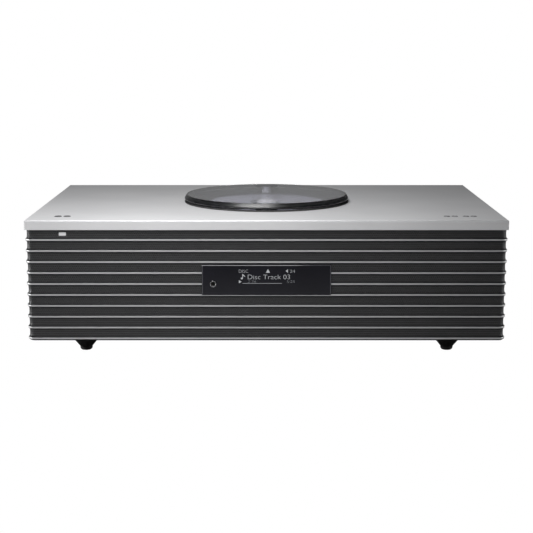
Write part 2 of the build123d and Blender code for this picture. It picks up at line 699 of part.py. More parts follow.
sled_front, sled_back = lens_rest_y - 11, lens_rest_y + 9
with BuildPart() as pickup_sled:
    with BuildSketch(Plane.XY.offset(117)):
        with Locations((0, (sled_front + sled_back) / 2)):
            Rectangle(38, sled_back - sled_front)
    extrude(amount=9)
    with BuildSketch(Plane.XY.offset(116.7)):
        with Locations((0.5, (sled_front + sled_back) / 2)):
            Rectangle(56, sled_back - sled_front)
    extrude(amount=4.6)
    for side in (-1, 1):
        with BuildSketch(Plane.XZ.offset(-sled_back)):
            with Locations((side * rod_x, rod_z)):
                Circle(rod_radius + running)
        extrude(amount=sled_back - sled_front, mode=Mode.SUBTRACT)
    with BuildSketch(Plane.XY.offset(123)):
        with Locations((0, lens_rest_y)):
            Circle(4.2)
    extrude(amount=3, mode=Mode.SUBTRACT)
    # Rack: a space of the rack faces the gear's axis, so the teeth sit half a pitch either side.
    pitch = math.pi * module
    rack_low = gear_axis[1] - 4
    first = math.ceil((rack_low - gear_axis[1]) / pitch) + 1
    count = int(rack_teeth_span / pitch) - 1
    root_x, tip_x = rack_line - 1.1 * module, rack_line + 0.8 * module
    root_half = pitch / 4 + 1.1 * module * math.tan(math.radians(20)) - 0.03
    tip_half = pitch / 4 - 0.8 * module * math.tan(math.radians(20)) - 0.03
    with BuildSketch(Plane.XY.offset(116.7)):
        with Locations(((28 + root_x) / 2, rack_low + rack_teeth_span / 2)):
            Rectangle(root_x - 28, rack_teeth_span)
        for tooth in range(first, first + count):
            y = gear_axis[1] + (tooth + 0.5) * pitch
            with BuildLine():
                Polyline(
                    (root_x, y - root_half), (tip_x, y - tip_half), (tip_x, y + tip_half),
                    (root_x, y + root_half), (root_x, y - root_half),
                )
            make_face()
    extrude(amount=2.3)
save(pickup_sled.part, "pickup_sled")

with BuildPart() as objective_lens:
    with BuildSketch(profile_plane((0, lens_rest_y, 0), (0, 0, 1))):
        with BuildLine():
            Polyline((0, 124), (3.6, 124), (3.6, 128), (2.6, 128.4))
            dome(2.6, 128.4, 0.9)
            Line((0, 129.3), (0, 124))
        make_face()
    revolve(axis=Axis((0, lens_rest_y, 0), (0, 0, 1)))
save(objective_lens.part, "objective_lens")

with BuildPart() as feed_gear:  # compound: a big wheel below, the rack's gear above
    with BuildSketch(Plane.XY.offset(deck_top + 0.6)):
        with Locations(gear_axis):
            Polygon(*gear_points(drive_teeth, 90), align=None)
    extrude(amount=1.6)
    with BuildSketch(Plane.XY.offset(deck_top + 2.2)):
        with Locations(gear_axis):
            Polygon(*gear_points(feed_teeth, 180), align=None)
    extrude(amount=3.2)
    with BuildSketch(Plane.XY.offset(deck_top + 0.6)):
        with Locations(gear_axis):
            Circle(1.0 + running)
    extrude(amount=4.8, mode=Mode.SUBTRACT)
save(feed_gear.part, "feed_gear")

with BuildPart() as feed_pinion:  # pinion on the feed motor's shaft
    with BuildSketch(Plane.XY.offset(deck_top + 0.5)):
        with Locations(pinion_axis):
            Polygon(*gear_points(pinion_teeth, 270 + 180 / pinion_teeth), align=None)
    extrude(amount=1.8)
    with BuildSketch(Plane.XY.offset(deck_bottom - 3.5)):
        with Locations(pinion_axis):
            Circle(0.75)
    extrude(amount=deck_top - deck_bottom + 4)
save(feed_pinion.part, "feed_pinion")

with BuildPart() as feed_motor:
    with BuildSketch(Plane.XY.offset(deck_bottom - 18)):
        with Locations(pinion_axis):
            Circle(7.8)
            Rectangle(20, 12.4, mode=Mode.INTERSECT)
    extrude(amount=18)
    with BuildSketch(Plane.XY.offset(deck_bottom - 4)):
        with Locations(pinion_axis):
            Circle(0.75 + running)
    extrude(amount=4, mode=Mode.SUBTRACT)
save(feed_motor.part, "feed_motor")

# ---------------------------------------------------------------- keys and their boards
for name, x, radius in keys:
    with BuildPart() as key:
        with BuildSketch(profile_plane((x, key_y, 0), (0, 0, 1))):
            with BuildLine():
                top = panel_top + key_proud
                Polyline(
                    (0, 126.2), (1.5, 126.2), (1.5, 130.2), (radius + 0.45, 130.2),
                    (radius + 0.45, skin_bottom - 0.3), (radius, skin_bottom - 0.3),
                    (radius, top - 0.3), (radius - 0.3, top),
                )
                dome(radius - 0.3, top, -0.16)
                Line((0, top - 0.16), (0, 126.2))
            make_face()
        revolve(axis=Axis((x, key_y, 0), (0, 0, 1)))
    save(key.part, name)

with BuildPart() as key_boards:
    for middle, board_width in ((-193.0, 34.0), (183.5, 48.0)):
        with BuildSketch(Plane.XY.offset(122)):
            with Locations((middle, key_y)):
                Rectangle(board_width, 16)
        extrude(amount=1.2)
        with BuildSketch(Plane.XY.offset(123.2)):
            with Locations(
                (middle - board_width / 2 + 2.2, key_y), (middle + board_width / 2 - 2.2, key_y)
            ):
                Circle(2)
        extrude(amount=cabinet_top - wall - 123.2)  # spacers up to the roof
    for _, x, _ in keys:
        with BuildSketch(Plane.XY.offset(123.2)):
            with Locations((x, key_y)):
                Rectangle(6, 6)
        extrude(amount=1.6)
save(key_boards.part, "key_boards")

# ---------------------------------------------------------------- speakers
driver("left_woofer", (-woofer_x, cabinet_front - 2.5, woofer_z), (0, -1, 0), 1.0, 12.5)
driver("right_woofer", (woofer_x, cabinet_front - 2.5, woofer_z), (0, -1, 0), 1.0, 12.5)
driver("subwoofer", (0, sub_y, sub_flange_z), (0, 0, -1), 1.45, 17.0)

with BuildPart() as tweeters:
    for x in (-tweeter_x, tweeter_x):
        face = (x, cabinet_front, tweeter_z)
        with BuildSketch(profile_plane(face, (0, -1, 0))):
            with BuildLine():
                Line((0, 2.6), (0, -16))
                Polyline((0, -16), (12, -16), (12, 0), (17.5, 0), (17.5, 1.6), (16.9, 2.2))
                ThreePointArc((16.9, 2.2), (13, 1.2), (10, -1.2))
                dome(10, -1.2, 3.8)
            make_face()
        revolve(axis=Axis(face, (0, -1, 0)))
save(tweeters.part, "tweeters")

# ---------------------------------------------------------------- electronics
board_front, board_back = divider_y + wall + 12, rear_face - 0.3
with BuildPart() as main_board:
    with BuildSketch(Plane.XY.offset(main_board_z)):
        with Locations((0, (board_front + board_back) / 2)):
            Rectangle(176, board_back - board_front)
    extrude(amount=board_thick)
    with BuildSketch(Plane.XY.offset(socket_floor)):
        with Locations((-40, 70), (-10, 62)):
            Rectangle(18, 18)
        with Locations((-66, 62), (-62, 88)):
            Rectangle(8, 12)
    extrude(amount=2)
    with BuildSketch(Plane.XY.offset(socket_floor)):
        with Locations((-30, 94), (-18, 94), (-6, 94)):
            Circle(4)
    extrude(amount=11)
save(main_board.part, "main_board")

with BuildPart() as heatsink:
    with BuildSketch(Plane.XY.offset(socket_floor)):
        with Locations((52, 74)):
            Rectangle(56, 40)
    extrude(amount=4)
    with BuildSketch(Plane.XY.offset(socket_floor + 4)):
        with Locations((52, 74)):
            with GridLocations(6, 0, 10, 1):
                Rectangle(1.8, 40)
    extrude(amount=22)
save(heatsink.part, "heatsink")

with BuildPart() as power_board:
    with BuildSketch(Plane.XY.offset(power_board_z)):
        with Locations((0, (board_front + board_back) / 2)):
            Rectangle(176, board_back - board_front)
    extrude(amount=board_thick)
    with BuildSketch(Plane.XY.offset(power_board_z + board_thick)):
        with Locations((10, 70)):
            Rectangle(34, 30)
    extrude(amount=22)  # switching transformer
    with BuildSketch(Plane.XY.offset(power_board_z + board_thick)):
        with Locations((-24, 64), (-24, 84), (-46, 64), (-46, 84)):
            Circle(8)
    extrude(amount=20)  # reservoir capacitors
    with BuildSketch(Plane.XY.offset(power_board_z + board_thick)):
        with Locations((62, 70)):
            Rectangle(22, 16)
    extrude(amount=14)  # mains filter
save(power_board.part, "power_board")

# ---------------------------------------------------------------- rear panel and sockets
lan_w, lan_h = 16.0, 13.5
usb_w, usb_h = 14.6, 7.0
optical_w = 10.0
inlet_w, inlet_h = 22.0, 13.0
plate_left, plate_right, plate_low, plate_high = -78.0, 82.0, 30.0, 76.0
plate_middle = ((plate_left + plate_right) / 2, (plate_low + plate_high) / 2)
plate_thick = 1.6
with BuildPart() as rear_panel:
    with BuildSketch(Plane.XZ.offset(-rear_face - rear_thick)):
        with Locations((0, (body_bottom + 0.2 + mesh_top) / 2)):
            RectangleRounded(2 * mesh_x, mesh_top - body_bottom - 0.2, 2)
        with Locations((-port_x, port_z), (port_x, port_z)):
            Circle(port_radius + 0.1, mode=Mode.SUBTRACT)
        with Locations(plate_middle):
            Rectangle(plate_right - plate_left, plate_high - plate_low, mode=Mode.SUBTRACT)
        with Locations((0, 106)):
            with GridLocations(0, 5, 1, 5):
                SlotOverall(120, 2.4, mode=Mode.SUBTRACT)  # cooling slots
    extrude(amount=rear_thick)
save(rear_panel.part, "rear_panel")

# Steel plate that the sockets show through, let into the rear panel
with BuildPart() as socket_plate:
    with BuildSketch(Plane.XZ.offset(-socket_back)):
        with Locations(plate_middle):
            Rectangle(plate_right - plate_left, plate_high - plate_low)
        with Locations((lan_x, socket_floor + lan_h / 2)):
            Rectangle(lan_w + 0.4, lan_h + 0.4, mode=Mode.SUBTRACT)
        with Locations((usb_x, socket_floor + usb_h / 2)):
            Rectangle(usb_w + 0.4, usb_h + 0.4, mode=Mode.SUBTRACT)
        with Locations((optical_x, socket_floor + optical_w / 2)):
            Rectangle(optical_w + 0.4, optical_w + 0.4, mode=Mode.SUBTRACT)
        with Locations((aux_x, socket_floor + 5)):
            Circle(3.7, mode=Mode.SUBTRACT)
        with Locations(*[(x, socket_floor + 7) for x in aerial_x]):
            Circle(6.3, mode=Mode.SUBTRACT)
        with Locations((inlet_x, inlet_z)):
            Rectangle(inlet_w + 0.4, inlet_h + 0.4, mode=Mode.SUBTRACT)
    extrude(amount=plate_thick)
save(socket_plate.part, "socket_plate")

with BuildPart() as lan_socket:
    with BuildSketch(Plane.XZ.offset(-socket_back)):
        with Locations((lan_x, socket_floor + lan_h / 2)):
            Rectangle(lan_w, lan_h)
    extrude(amount=21)
    with BuildSketch(Plane.XZ.offset(-socket_back)):
        with Locations((lan_x, socket_floor + lan_h / 2 - 0.4)):
            Rectangle(11.9, 8.0)
        with Locations((lan_x, socket_floor + lan_h / 2 + 4.2)):
            Rectangle(6.2, 2.2)
    extrude(amount=13, mode=Mode.SUBTRACT)
save(lan_socket.part, "lan_socket")

with BuildPart() as usb_socket:
    with BuildSketch(Plane.XZ.offset(-socket_back)):
        with Locations((usb_x, socket_floor + usb_h / 2)):
            Rectangle(usb_w, usb_h)
            Rectangle(12.6, 5.1, mode=Mode.SUBTRACT)
    extrude(amount=14)
    with BuildSketch(Plane.XZ.offset(-socket_back + 12)):
        with Locations((usb_x, socket_floor + usb_h / 2)):
            Rectangle(12.6, 5.1)
    extrude(amount=2)
    with BuildSketch(Plane.XZ.offset(-socket_back + 1)):
        with Locations((usb_x, socket_floor + usb_h / 2 + 0.8)):
            Rectangle(11.2, 1.9)
    extrude(amount=12)
save(usb_socket.part, "usb_socket")

with BuildPart() as optical_socket:
    with BuildSketch(Plane.XZ.offset(-socket_back)):
        with Locations((optical_x, socket_floor + optical_w / 2)):
            Rectangle(optical_w, optical_w)
    extrude(amount=14)
    with BuildSketch(Plane.XZ.offset(-socket_back)):
        with Locations((optical_x, socket_floor + optical_w / 2)):
            Rectangle(8, 8)
    extrude(amount=6, mode=Mode.SUBTRACT)
save(optical_socket.part, "optical_socket")

aux_mouth = (aux_x, socket_back, socket_floor + 5)
with BuildPart() as aux_socket:
    with BuildSketch(profile_plane(aux_mouth, (0, 1, 0))):
        with BuildLine():
            Polyline(
                (1.8, 0), (3.5, 0), (3.5, -5), (4.6, -5), (4.6, -17), (0, -17), (0, -15),
                (1.8, -15), (1.8, 0),
            )
        make_face()
    revolve(axis=Axis(aux_mouth, (0, 1, 0)))
save(aux_socket.part, "aux_socket")

with BuildPart() as aerial_sockets:
    for x in aerial_x:
        mouth = (x, socket_back, socket_floor + 7)
        with BuildSketch(profile_plane(mouth, (0, 1, 0))):
            with BuildLine():
                Polyline(
                    (0, -16), (6.6, -16), (6.6, -5), (6.0, -5), (6.0, 0.8), (4.7, 0.8), (4.7, 1.6),
                    (4.3, 2), (4.1, 2), (4.1, -6), (1.2, -6), (1.2, -0.6), (0.9, 0), (0, 0),
                    (0, -16),
                )
            make_face()
        revolve(axis=Axis(mouth, (0, 1, 0)))
save(aerial_sockets.part, "aerial_sockets")

with BuildPart() as mains_inlet:
    with BuildSketch(Plane.XZ.offset(-socket_back)):
        with Locations((inlet_x, inlet_z)):
            Rectangle(inlet_w, inlet_h)
    extrude(amount=17)
    with BuildSketch(Plane.XZ.offset(-socket_back)):
        with Locations((inlet_x, inlet_z)):
            SlotOverall(16.6, 8.4)
    extrude(amount=13, mode=Mode.SUBTRACT)
    with BuildSketch(Plane.XZ.offset(-socket_back + 3)):
        with Locations((inlet_x - 4.3, inlet_z), (inlet_x + 4.3, inlet_z)):
            Circle(1.2)
    extrude(amount=11)
save(mains_inlet.part, "mains_inlet")

# ---------------------------------------------------------------- case screws
with BuildPart() as case_screws:  # from below, through the base into the cabinet walls
    for x, y in screw_places:
        with BuildSketch(profile_plane((x, y, body_bottom), (0, 0, 1))):
            with BuildLine():
                Polyline(
                    (0, -0.8), (1.1, -0.8), (1.1, -1.2), (2.4, -1.2), (2.8, -0.8), (2.8, 0),
                    (screw_radius, 0), (screw_radius, 10), (0, 10), (0, -0.8),
                )
            make_face()
        revolve(axis=Axis((x, y, 0), (0, 0, 1)))
save(case_screws.part, "case_screws")
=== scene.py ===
import math

import bmesh
import bpy
import numpy as np
from mathutils import Matrix, Vector


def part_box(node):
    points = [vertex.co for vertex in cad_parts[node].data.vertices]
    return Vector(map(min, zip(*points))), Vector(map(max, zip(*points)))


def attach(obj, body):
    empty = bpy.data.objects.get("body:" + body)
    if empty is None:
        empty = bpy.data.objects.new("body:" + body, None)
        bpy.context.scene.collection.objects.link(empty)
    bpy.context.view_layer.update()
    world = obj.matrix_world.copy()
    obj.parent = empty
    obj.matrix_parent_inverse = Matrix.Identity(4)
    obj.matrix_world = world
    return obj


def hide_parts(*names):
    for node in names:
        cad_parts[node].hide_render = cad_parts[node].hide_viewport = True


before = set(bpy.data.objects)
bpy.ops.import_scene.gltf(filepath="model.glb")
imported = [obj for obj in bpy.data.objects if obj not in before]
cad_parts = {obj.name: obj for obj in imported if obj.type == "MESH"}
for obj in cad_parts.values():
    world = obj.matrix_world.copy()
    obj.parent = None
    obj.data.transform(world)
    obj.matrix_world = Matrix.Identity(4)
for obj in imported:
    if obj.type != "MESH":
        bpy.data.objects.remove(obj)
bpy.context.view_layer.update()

# Metres, in the frame of the CAD model: the origin is on the floor under the middle, the front
# faces -Y and +Z is up. Places are worked out from the CAD nodes' boxes.
MM = 0.001
CASE = "case"

panel_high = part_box("top_panel")[1]
fins_low, fins_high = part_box("grille_fins")
mesh_low, mesh_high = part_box("grille_mesh")
window_low, window_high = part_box("display_window")
jack_low, jack_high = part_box("headphone_jack")
lid_low, lid_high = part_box("cd_lid")
cap_low, cap_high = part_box("lid_pivot_cap")

# Sizes that the CAD model also uses
fin_count = 10
fin_root, fin_tip = 4.2 * MM, 2.0 * MM  # a fin's height at the mesh and at its outer edge
mesh_corner = 5.0 * MM
jack_bore, jack_ring = 1.8 * MM, 2.9 * MM
lid_gap, lid_skin, lid_wall = 2.0 * MM, 3.0 * MM, 2.4 * MM
lid_top_radius, lid_foot_radius = 82.0 * MM, 83.2 * MM
boss_radius, post_bore = 7.2 * MM, 5.06 * MM
recess_radius = 58.5 * MM  # where the middle of the disc recess ends

# ---------------------------------------------------------------- mesh helpers
tiny = 1e-9
sharp_angle = 35  # degrees between faces from which a turned piece shows an edge


def add_object(name, vertices, faces, body, finish, smooth_angle=None):
    """Makes a mesh object that rides on a body. smooth_angle is where shading turns sharp."""
    mesh = bpy.data.meshes.new(name)
    mesh.from_pydata(vertices, [], faces)
    mesh.update()
    if smooth_angle is not None:
        mesh.shade_smooth()
        mesh.set_sharp_from_angle(angle=math.radians(smooth_angle))
    obj = bpy.data.objects.new(name, mesh)
    bpy.context.scene.collection.objects.link(obj)
    for one in finish if isinstance(finish, (list, tuple)) else [finish]:
        mesh.materials.append(one)
    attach(obj, body)
    return obj


def rounded(outline, radius, steps=4):
    """A closed outline with each corner turned into a short curve. Points on the axis stay sharp."""
    result = []
    count = len(outline)
    most = 0.45  # of a side, so that the curves at its two ends never meet
    for i in range(count):
        here = Vector(outline[i])
        before, after = Vector(outline[i - 1]), Vector(outline[(i + 1) % count])
        if here.x < tiny:
            result.append(tuple(here))
            continue
        reach_in = min(radius, (before - here).length * most)
        reach_out = min(radius, (after - here).length * most)
        a = here + (before - here).normalized() * reach_in
        b = here + (after - here).normalized() * reach_out
        for k in range(steps + 1):
            t = k / steps
            result.append(tuple(a * (1 - t) ** 2 + here * (2 * t * (1 - t)) + b * t * t))
    return result


def turned(name, outline, centre, body, finish, facing="up", steps=128):
    """A turned piece: a closed outline of (radius, height) spun about an axis through centre, which
    points up or to the front."""
    quarter_turn = Matrix.Rotation(math.radians(90), 3, "X")
    matrix = quarter_turn if facing == "front" else Matrix.Identity(3)
    vertices, rings = [], []
    for radius, height in outline:
        if radius < tiny:
            rings.append([len(vertices)])
            vertices.append(Vector(centre) + matrix @ Vector((0, 0, height)))
            continue
        rings.append(list(range(len(vertices), len(vertices) + steps)))
        for k in range(steps):
            a = 2 * math.pi * k / steps
            at = Vector((radius * math.cos(a), radius * math.sin(a), height))
            vertices.append(Vector(centre) + matrix @ at)
    faces = []
    for i, ring in enumerate(rings):
        other = rings[(i + 1) % len(rings)]
        if len(ring) == 1 and len(other) == 1:
            continue
        for k in range(steps):
            n = (k + 1) % steps
            if len(ring) == 1:
                faces.append((ring[0], other[n], other[k]))
            elif len(other) == 1:
                faces.append((ring[k], ring[n], other[0]))
            else:
                faces.append((ring[k], ring[n], other[n], other[k]))
    obj = add_object(name, vertices, faces, body, finish, sharp_angle)
    face_outward(obj)
    return obj


def cut_away(obj, outline, centre):
    """Cuts a turned shape out of a piece and marks the sharp edges again."""
    cutter = turned("cutter", outline, centre, CASE, acrylic_finish, steps=96)
    modifier = obj.modifiers.new("cut", "BOOLEAN")
    modifier.object = cutter
    modifier.solver = "EXACT"
    modifier.operation = "DIFFERENCE"
    depsgraph = bpy.context.evaluated_depsgraph_get()
    mesh = bpy.data.meshes.new_from_object(obj.evaluated_get(depsgraph))
    obj.modifiers.clear()
    mesh.set_sharp_from_angle(angle=math.radians(sharp_angle))
    obj.data = mesh
    bpy.data.objects.remove(cutter)


def face_outward(obj):
    """Turns every face of a closed mesh outwards."""
    work = bmesh.new()
    work.from_mesh(obj.data)
    bmesh.ops.recalc_face_normals(work, faces=work.faces)
    work.to_mesh(obj.data)
    work.free()
    obj.data.update()


def prism(name, outline, low, high, place, body, finish):
    """A flat outline of (x, y) points made solid from low to high along z, then put in place."""
    work = bmesh.new()
    bottom = [work.verts.new((x, y, low)) for x, y in outline]
    base = work.faces.new(bottom)
    made = bmesh.ops.extrude_face_region(work, geom=[base])
    for vertex in made["geom"]:
        if isinstance(vertex, bmesh.types.BMVert):
            vertex.co.z = high
    bmesh.ops.transform(work, matrix=place, verts=work.verts)
    bmesh.ops.recalc_face_normals(work, faces=work.faces)
    obj = add_object(name, [], [], body, finish)
    work.to_mesh(obj.data)
    work.free()
    return obj


# ---------------------------------------------------------------- materials


class Nodes:
    """Builds one node-based material around a Principled shader."""

    def __init__(self, name, roughness, metallic=0.0, **sockets):
        self.material = bpy.data.materials.new(name)
        self.material.use_nodes = True
        self.tree = self.material.node_tree
        self.shader = self.tree.nodes["Principled BSDF"]
        self.shader.inputs["Roughness"].default_value = roughness
        self.shader.inputs["Metallic"].default_value = metallic
        for key, value in sockets.items():
            self.shader.inputs[key.replace("_", " ")].default_value = value
        self.place = self.add("ShaderNodeTexCoord").outputs["Object"]

    def add(self, kind, **settings):
        """A new node with the given settings."""
        node = self.tree.nodes.new(kind)
        for key, value in settings.items():
            setattr(node, key, value)
        return node

    def link(self, output, target):
        self.tree.links.new(output, target)

    def stretched(self, x, y, z):
        """Object coordinates multiplied along each axis."""
        mapping = self.add("ShaderNodeMapping")
        mapping.inputs["Scale"].default_value = (x, y, z)
        self.link(self.place, mapping.inputs["Vector"])
        return mapping.outputs["Vector"]

    def noise(self, scale, detail=3.0, rough=0.55, at=None):
        """Noise with scale cells per metre, at the given coordinates or on the object itself."""
        node = self.add("ShaderNodeTexNoise")
        node.inputs["Scale"].default_value = scale
        node.inputs["Detail"].default_value = detail
        node.inputs["Roughness"].default_value = rough
        self.link(at or self.place, node.inputs["Vector"])
        return node.outputs["Fac"]

    def ramp(self, value, low, high, value_low=0.3, value_high=0.7):
        """A value mapped to the range from low to high. Noise mostly lies between 0.3 and 0.7."""
        node = self.add("ShaderNodeMapRange")
        node.inputs["From Min"].default_value = value_low
        node.inputs["From Max"].default_value = value_high
        node.inputs["To Min"].default_value = low
        node.inputs["To Max"].default_value = high
        self.link(value, node.inputs["Value"])
        return node.outputs["Result"]

    def blend(self, factor, first, second):
        """A mix of two colours, each a colour or an output."""
        node = self.add("ShaderNodeMix", data_type="RGBA")
        self.link(factor, node.inputs[0])
        for socket, value in ((node.inputs[6], first), (node.inputs[7], second)):
            if isinstance(value, (tuple, list)):
                socket.default_value = (*value[:3], 1.0)
            else:
                self.link(value, socket)
        return node.outputs[2]

    def color(self, output):
        """Drives the shader's colour."""
        self.link(output, self.shader.inputs["Base Color"])

    def rough(self, output):
        """Drives the shader's roughness."""
        self.link(output, self.shader.inputs["Roughness"])

    def bump(self, height, depth):
        """Bump of a real depth in metres, on top of any bump already there."""
        node = self.add("ShaderNodeBump")
        node.inputs["Distance"].default_value = depth
        node.inputs["Strength"].default_value = 1.0
        self.link(height, node.inputs["Height"])
        before = self.shader.inputs["Normal"]
        if before.is_linked:
            self.link(before.links[0].from_socket, node.inputs["Normal"])
        self.link(node.outputs["Normal"], before)

    def edges(self):
        """0 on faces square to an axis, rising to 1 on the rounded edges between them."""
        split = self.add("ShaderNodeSeparateXYZ")
        self.link(self.place.node.outputs["Normal"], split.inputs[0])
        x, y, z = (self.math("ABSOLUTE", output) for output in split.outputs)
        squareness = self.math("MAXIMUM", self.math("MAXIMUM", x, y), z)
        return self.ramp(squareness, 1.0, 0.0, 0.90, 0.99)

    def math(self, operation, a, b=None):
        """The result of a sum on one or two values, each a number or an output."""
        node = self.add("ShaderNodeMath", operation=operation)
        for socket, value in zip(node.inputs, (a, b)):
            if value is None:
                continue
            if isinstance(value, (int, float)):
                socket.default_value = value
            else:
                self.link(value, socket)
        return node.outputs[0]


def satin_aluminium(
    name, dark, light, roughness=0.36, streak=(40, 2600, 2600), metallic=1.0, edge_painted_shade=None
):
    """Anodised aluminium with a fine brushed grain along X and a faint cloudiness. A blasted
    surface that scatters light is less metallic. Its rounded edges can take a darker colour,
    painted shade that dims their highlight."""
    n = Nodes(name, roughness, metallic)
    grain = n.noise(1.0, 2.0, 0.6, n.stretched(*streak))
    cloud = n.noise(14.0, 2.0, 0.5)
    color = n.blend(n.ramp(cloud, 0, 1), dark, light)
    # Painted shade: the rounded edges get a darker colour, which dims their highlight
    if edge_painted_shade:
        color = n.blend(n.edges(), color, edge_painted_shade)
    n.color(color)
    n.rough(n.ramp(grain, roughness - 0.04, roughness + 0.05))
    n.bump(grain, 0.004 * MM)
    n.bump(n.noise(5200.0, 1.0, 0.5), 0.002 * MM)
    return n.material


def coated_metal(name, color, roughness=0.55, grain=1800.0, depth=0.02, metallic=0.0, specular=0.5):
    """Powder-coated or anodised dark metal with a fine orange-peel grain."""
    n = Nodes(name, roughness, metallic, Specular_IOR_Level=specular)
    speck = n.noise(grain, 2.0, 0.6)
    lighter = tuple(min(1.0, c * 1.5 + 0.004) for c in color)
    n.color(n.blend(n.ramp(speck, 0, 1), color, lighter))
    n.rough(n.ramp(n.noise(60.0), roughness - 0.07, roughness + 0.07))
    n.bump(speck, depth * MM)
    return n.material


def moulded_plastic(name, color, roughness=0.42, grain=1400.0, depth=0.015):
    """Moulded plastic with a fine spark-eroded grain and slightly uneven gloss."""
    n = Nodes(name, roughness)
    cells = n.add("ShaderNodeTexVoronoi")
    cells.inputs["Scale"].default_value = grain
    n.link(n.place, cells.inputs["Vector"])
    lighter = tuple(min(1.0, c * 1.25 + 0.003) for c in color)
    n.color(n.blend(n.ramp(n.noise(90.0), 0, 1), color, lighter))
    n.rough(n.ramp(n.noise(220.0), roughness - 0.06, roughness + 0.06))
    n.bump(cells.outputs["Distance"], depth * MM)
    return n.material


def soft_rubber(name, color=(0.016, 0.016, 0.017)):
    """Matt rubber with faint bloom and a soft grain."""
    n = Nodes(name, 0.75)
    n.color(n.blend(n.ramp(n.noise(160.0, 4.0), 0, 1), color, tuple(c * 2.2 for c in color)))
    n.rough(n.ramp(n.noise(40.0), 0.66, 0.84))
    n.bump(n.noise(2400.0, 2.0), 0.02 * MM)
    return n.material


def bright_metal(name, color, roughness=0.22, grain=900.0):
    """Plated or drawn metal with light scuffs."""
    n = Nodes(name, roughness, metallic=1.0)
    scuff = n.noise(grain, 4.0, 0.7)
    n.color(n.blend(n.ramp(n.noise(45.0), 0, 1), tuple(c * 0.86 for c in color), color))
    n.rough(n.ramp(scuff, roughness - 0.06, roughness + 0.1))
    n.bump(scuff, 0.003 * MM)
    return n.material


def turned_metal(name, color, roughness, centre, pitch=0.18):
    """Metal with the rings of a lathe about an upright axis, their pitch in millimetres."""
    n = Nodes(name, roughness, metallic=1.0)
    away = n.add("ShaderNodeVectorMath", operation="SUBTRACT")
    away.inputs[1].default_value = centre
    n.link(n.place, away.inputs[0])
    flat = n.add("ShaderNodeVectorMath", operation="MULTIPLY")
    flat.inputs[1].default_value = (1, 1, 0)
    n.link(away.outputs[0], flat.inputs[0])
    length = n.add("ShaderNodeVectorMath", operation="LENGTH")
    n.link(flat.outputs[0], length.inputs[0])
    turns = n.math("SINE", n.math("MULTIPLY", length.outputs["Value"], 2 * math.pi / (pitch * MM)))
    n.color(n.blend(n.ramp(n.noise(30.0), 0, 1), tuple(c * 0.9 for c in color), color))
    n.rough(n.ramp(turns, roughness - 0.03, roughness + 0.03, -1, 1))
    n.bump(turns, 0.004 * MM)
    return n.material


def circuit_board(name):
    """Green solder mask over copper tracks, with pads."""
    n = Nodes(name, 0.35)
    tracks = n.add("ShaderNodeTexBrick")
    tracks.inputs["Scale"].default_value = 260.0
    tracks.inputs["Mortar Size"].default_value = 0.035
    tracks.inputs["Color1"].default_value = (0.008, 0.075, 0.03, 1)
    tracks.inputs["Color2"].default_value = (0.01, 0.095, 0.04, 1)
    tracks.inputs["Mortar"].default_value = (0.03, 0.17, 0.07, 1)
    n.link(n.place, tracks.inputs["Vector"])
    n.color(tracks.outputs["Color"])
    n.rough(n.ramp(n.noise(400.0), 0.28, 0.45))
    n.bump(tracks.outputs["Fac"], 0.03 * MM)
    return n.material


def speaker_pulp(name):
    """Coated paper pulp of a loudspeaker cone, with short fibres."""
    n = Nodes(name, 0.6)
    fibres = n.noise(1.0, 5.0, 0.7, n.stretched(900, 2600, 1500))
    n.color(n.blend(n.ramp(fibres, 0, 1), (0.02, 0.02, 0.022), (0.06, 0.06, 0.062)))
    n.rough(n.ramp(fibres, 0.5, 0.72))
    n.bump(fibres, 0.05 * MM)
    return n.material


def smoked_acrylic(name, roughness=0.012):
    """Clear smoked acrylic, polished unless it is given a roughness, with a trace of wiping haze."""
    n = Nodes(name, roughness, Transmission_Weight=1.0, IOR=1.49)
    n.color(n.blend(n.ramp(n.noise(9.0, 2.0), 0, 1), (0.90, 0.90, 0.93), (0.93, 0.93, 0.95)))
    n.rough(n.ramp(n.noise(34.0, 4.0), roughness, roughness + 0.023))
    clear = n.add("ShaderNodeBsdfTransparent")
    clear.inputs["Color"].default_value = (0.88, 0.88, 0.90, 1)
    lamps = n.add("ShaderNodeMixShader")  # lets the lamps light what lies under the acrylic
    n.link(n.add("ShaderNodeLightPath").outputs["Is Shadow Ray"], lamps.inputs[0])
    n.link(n.shader.outputs[0], lamps.inputs[1])
    n.link(clear.outputs[0], lamps.inputs[2])
    n.link(lamps.outputs[0], n.tree.nodes["Material Output"].inputs["Surface"])
    return n.material


def gloss_black(name, color=(0.008, 0.008, 0.011), roughness=0.09):
    """Glossy black acrylic with faint wiping marks."""
    n = Nodes(name, roughness)
    n.color(n.blend(n.ramp(n.noise(26.0), 0, 1), color, tuple(c * 1.5 for c in color)))
    n.rough(n.ramp(n.noise(70.0, 5.0), roughness - 0.03, roughness + 0.05))
    return n.material


def glowing(name, color, strength):
    """A lit display segment, a little uneven like the pixels of the panel behind it."""
    n = Nodes(name, 0.4)
    dots = n.add("ShaderNodeTexVoronoi")
    dots.inputs["Scale"].default_value = 3200.0
    n.link(n.place, dots.inputs["Vector"])
    dimmer = tuple(c * 0.8 for c in color)
    lit = n.blend(n.ramp(dots.outputs["Distance"], 0, 1, 0.0, 0.9), color, dimmer)
    n.color(lit)
    n.link(lit, n.shader.inputs["Emission Color"])
    n.shader.inputs["Emission Strength"].default_value = strength
    return n.material


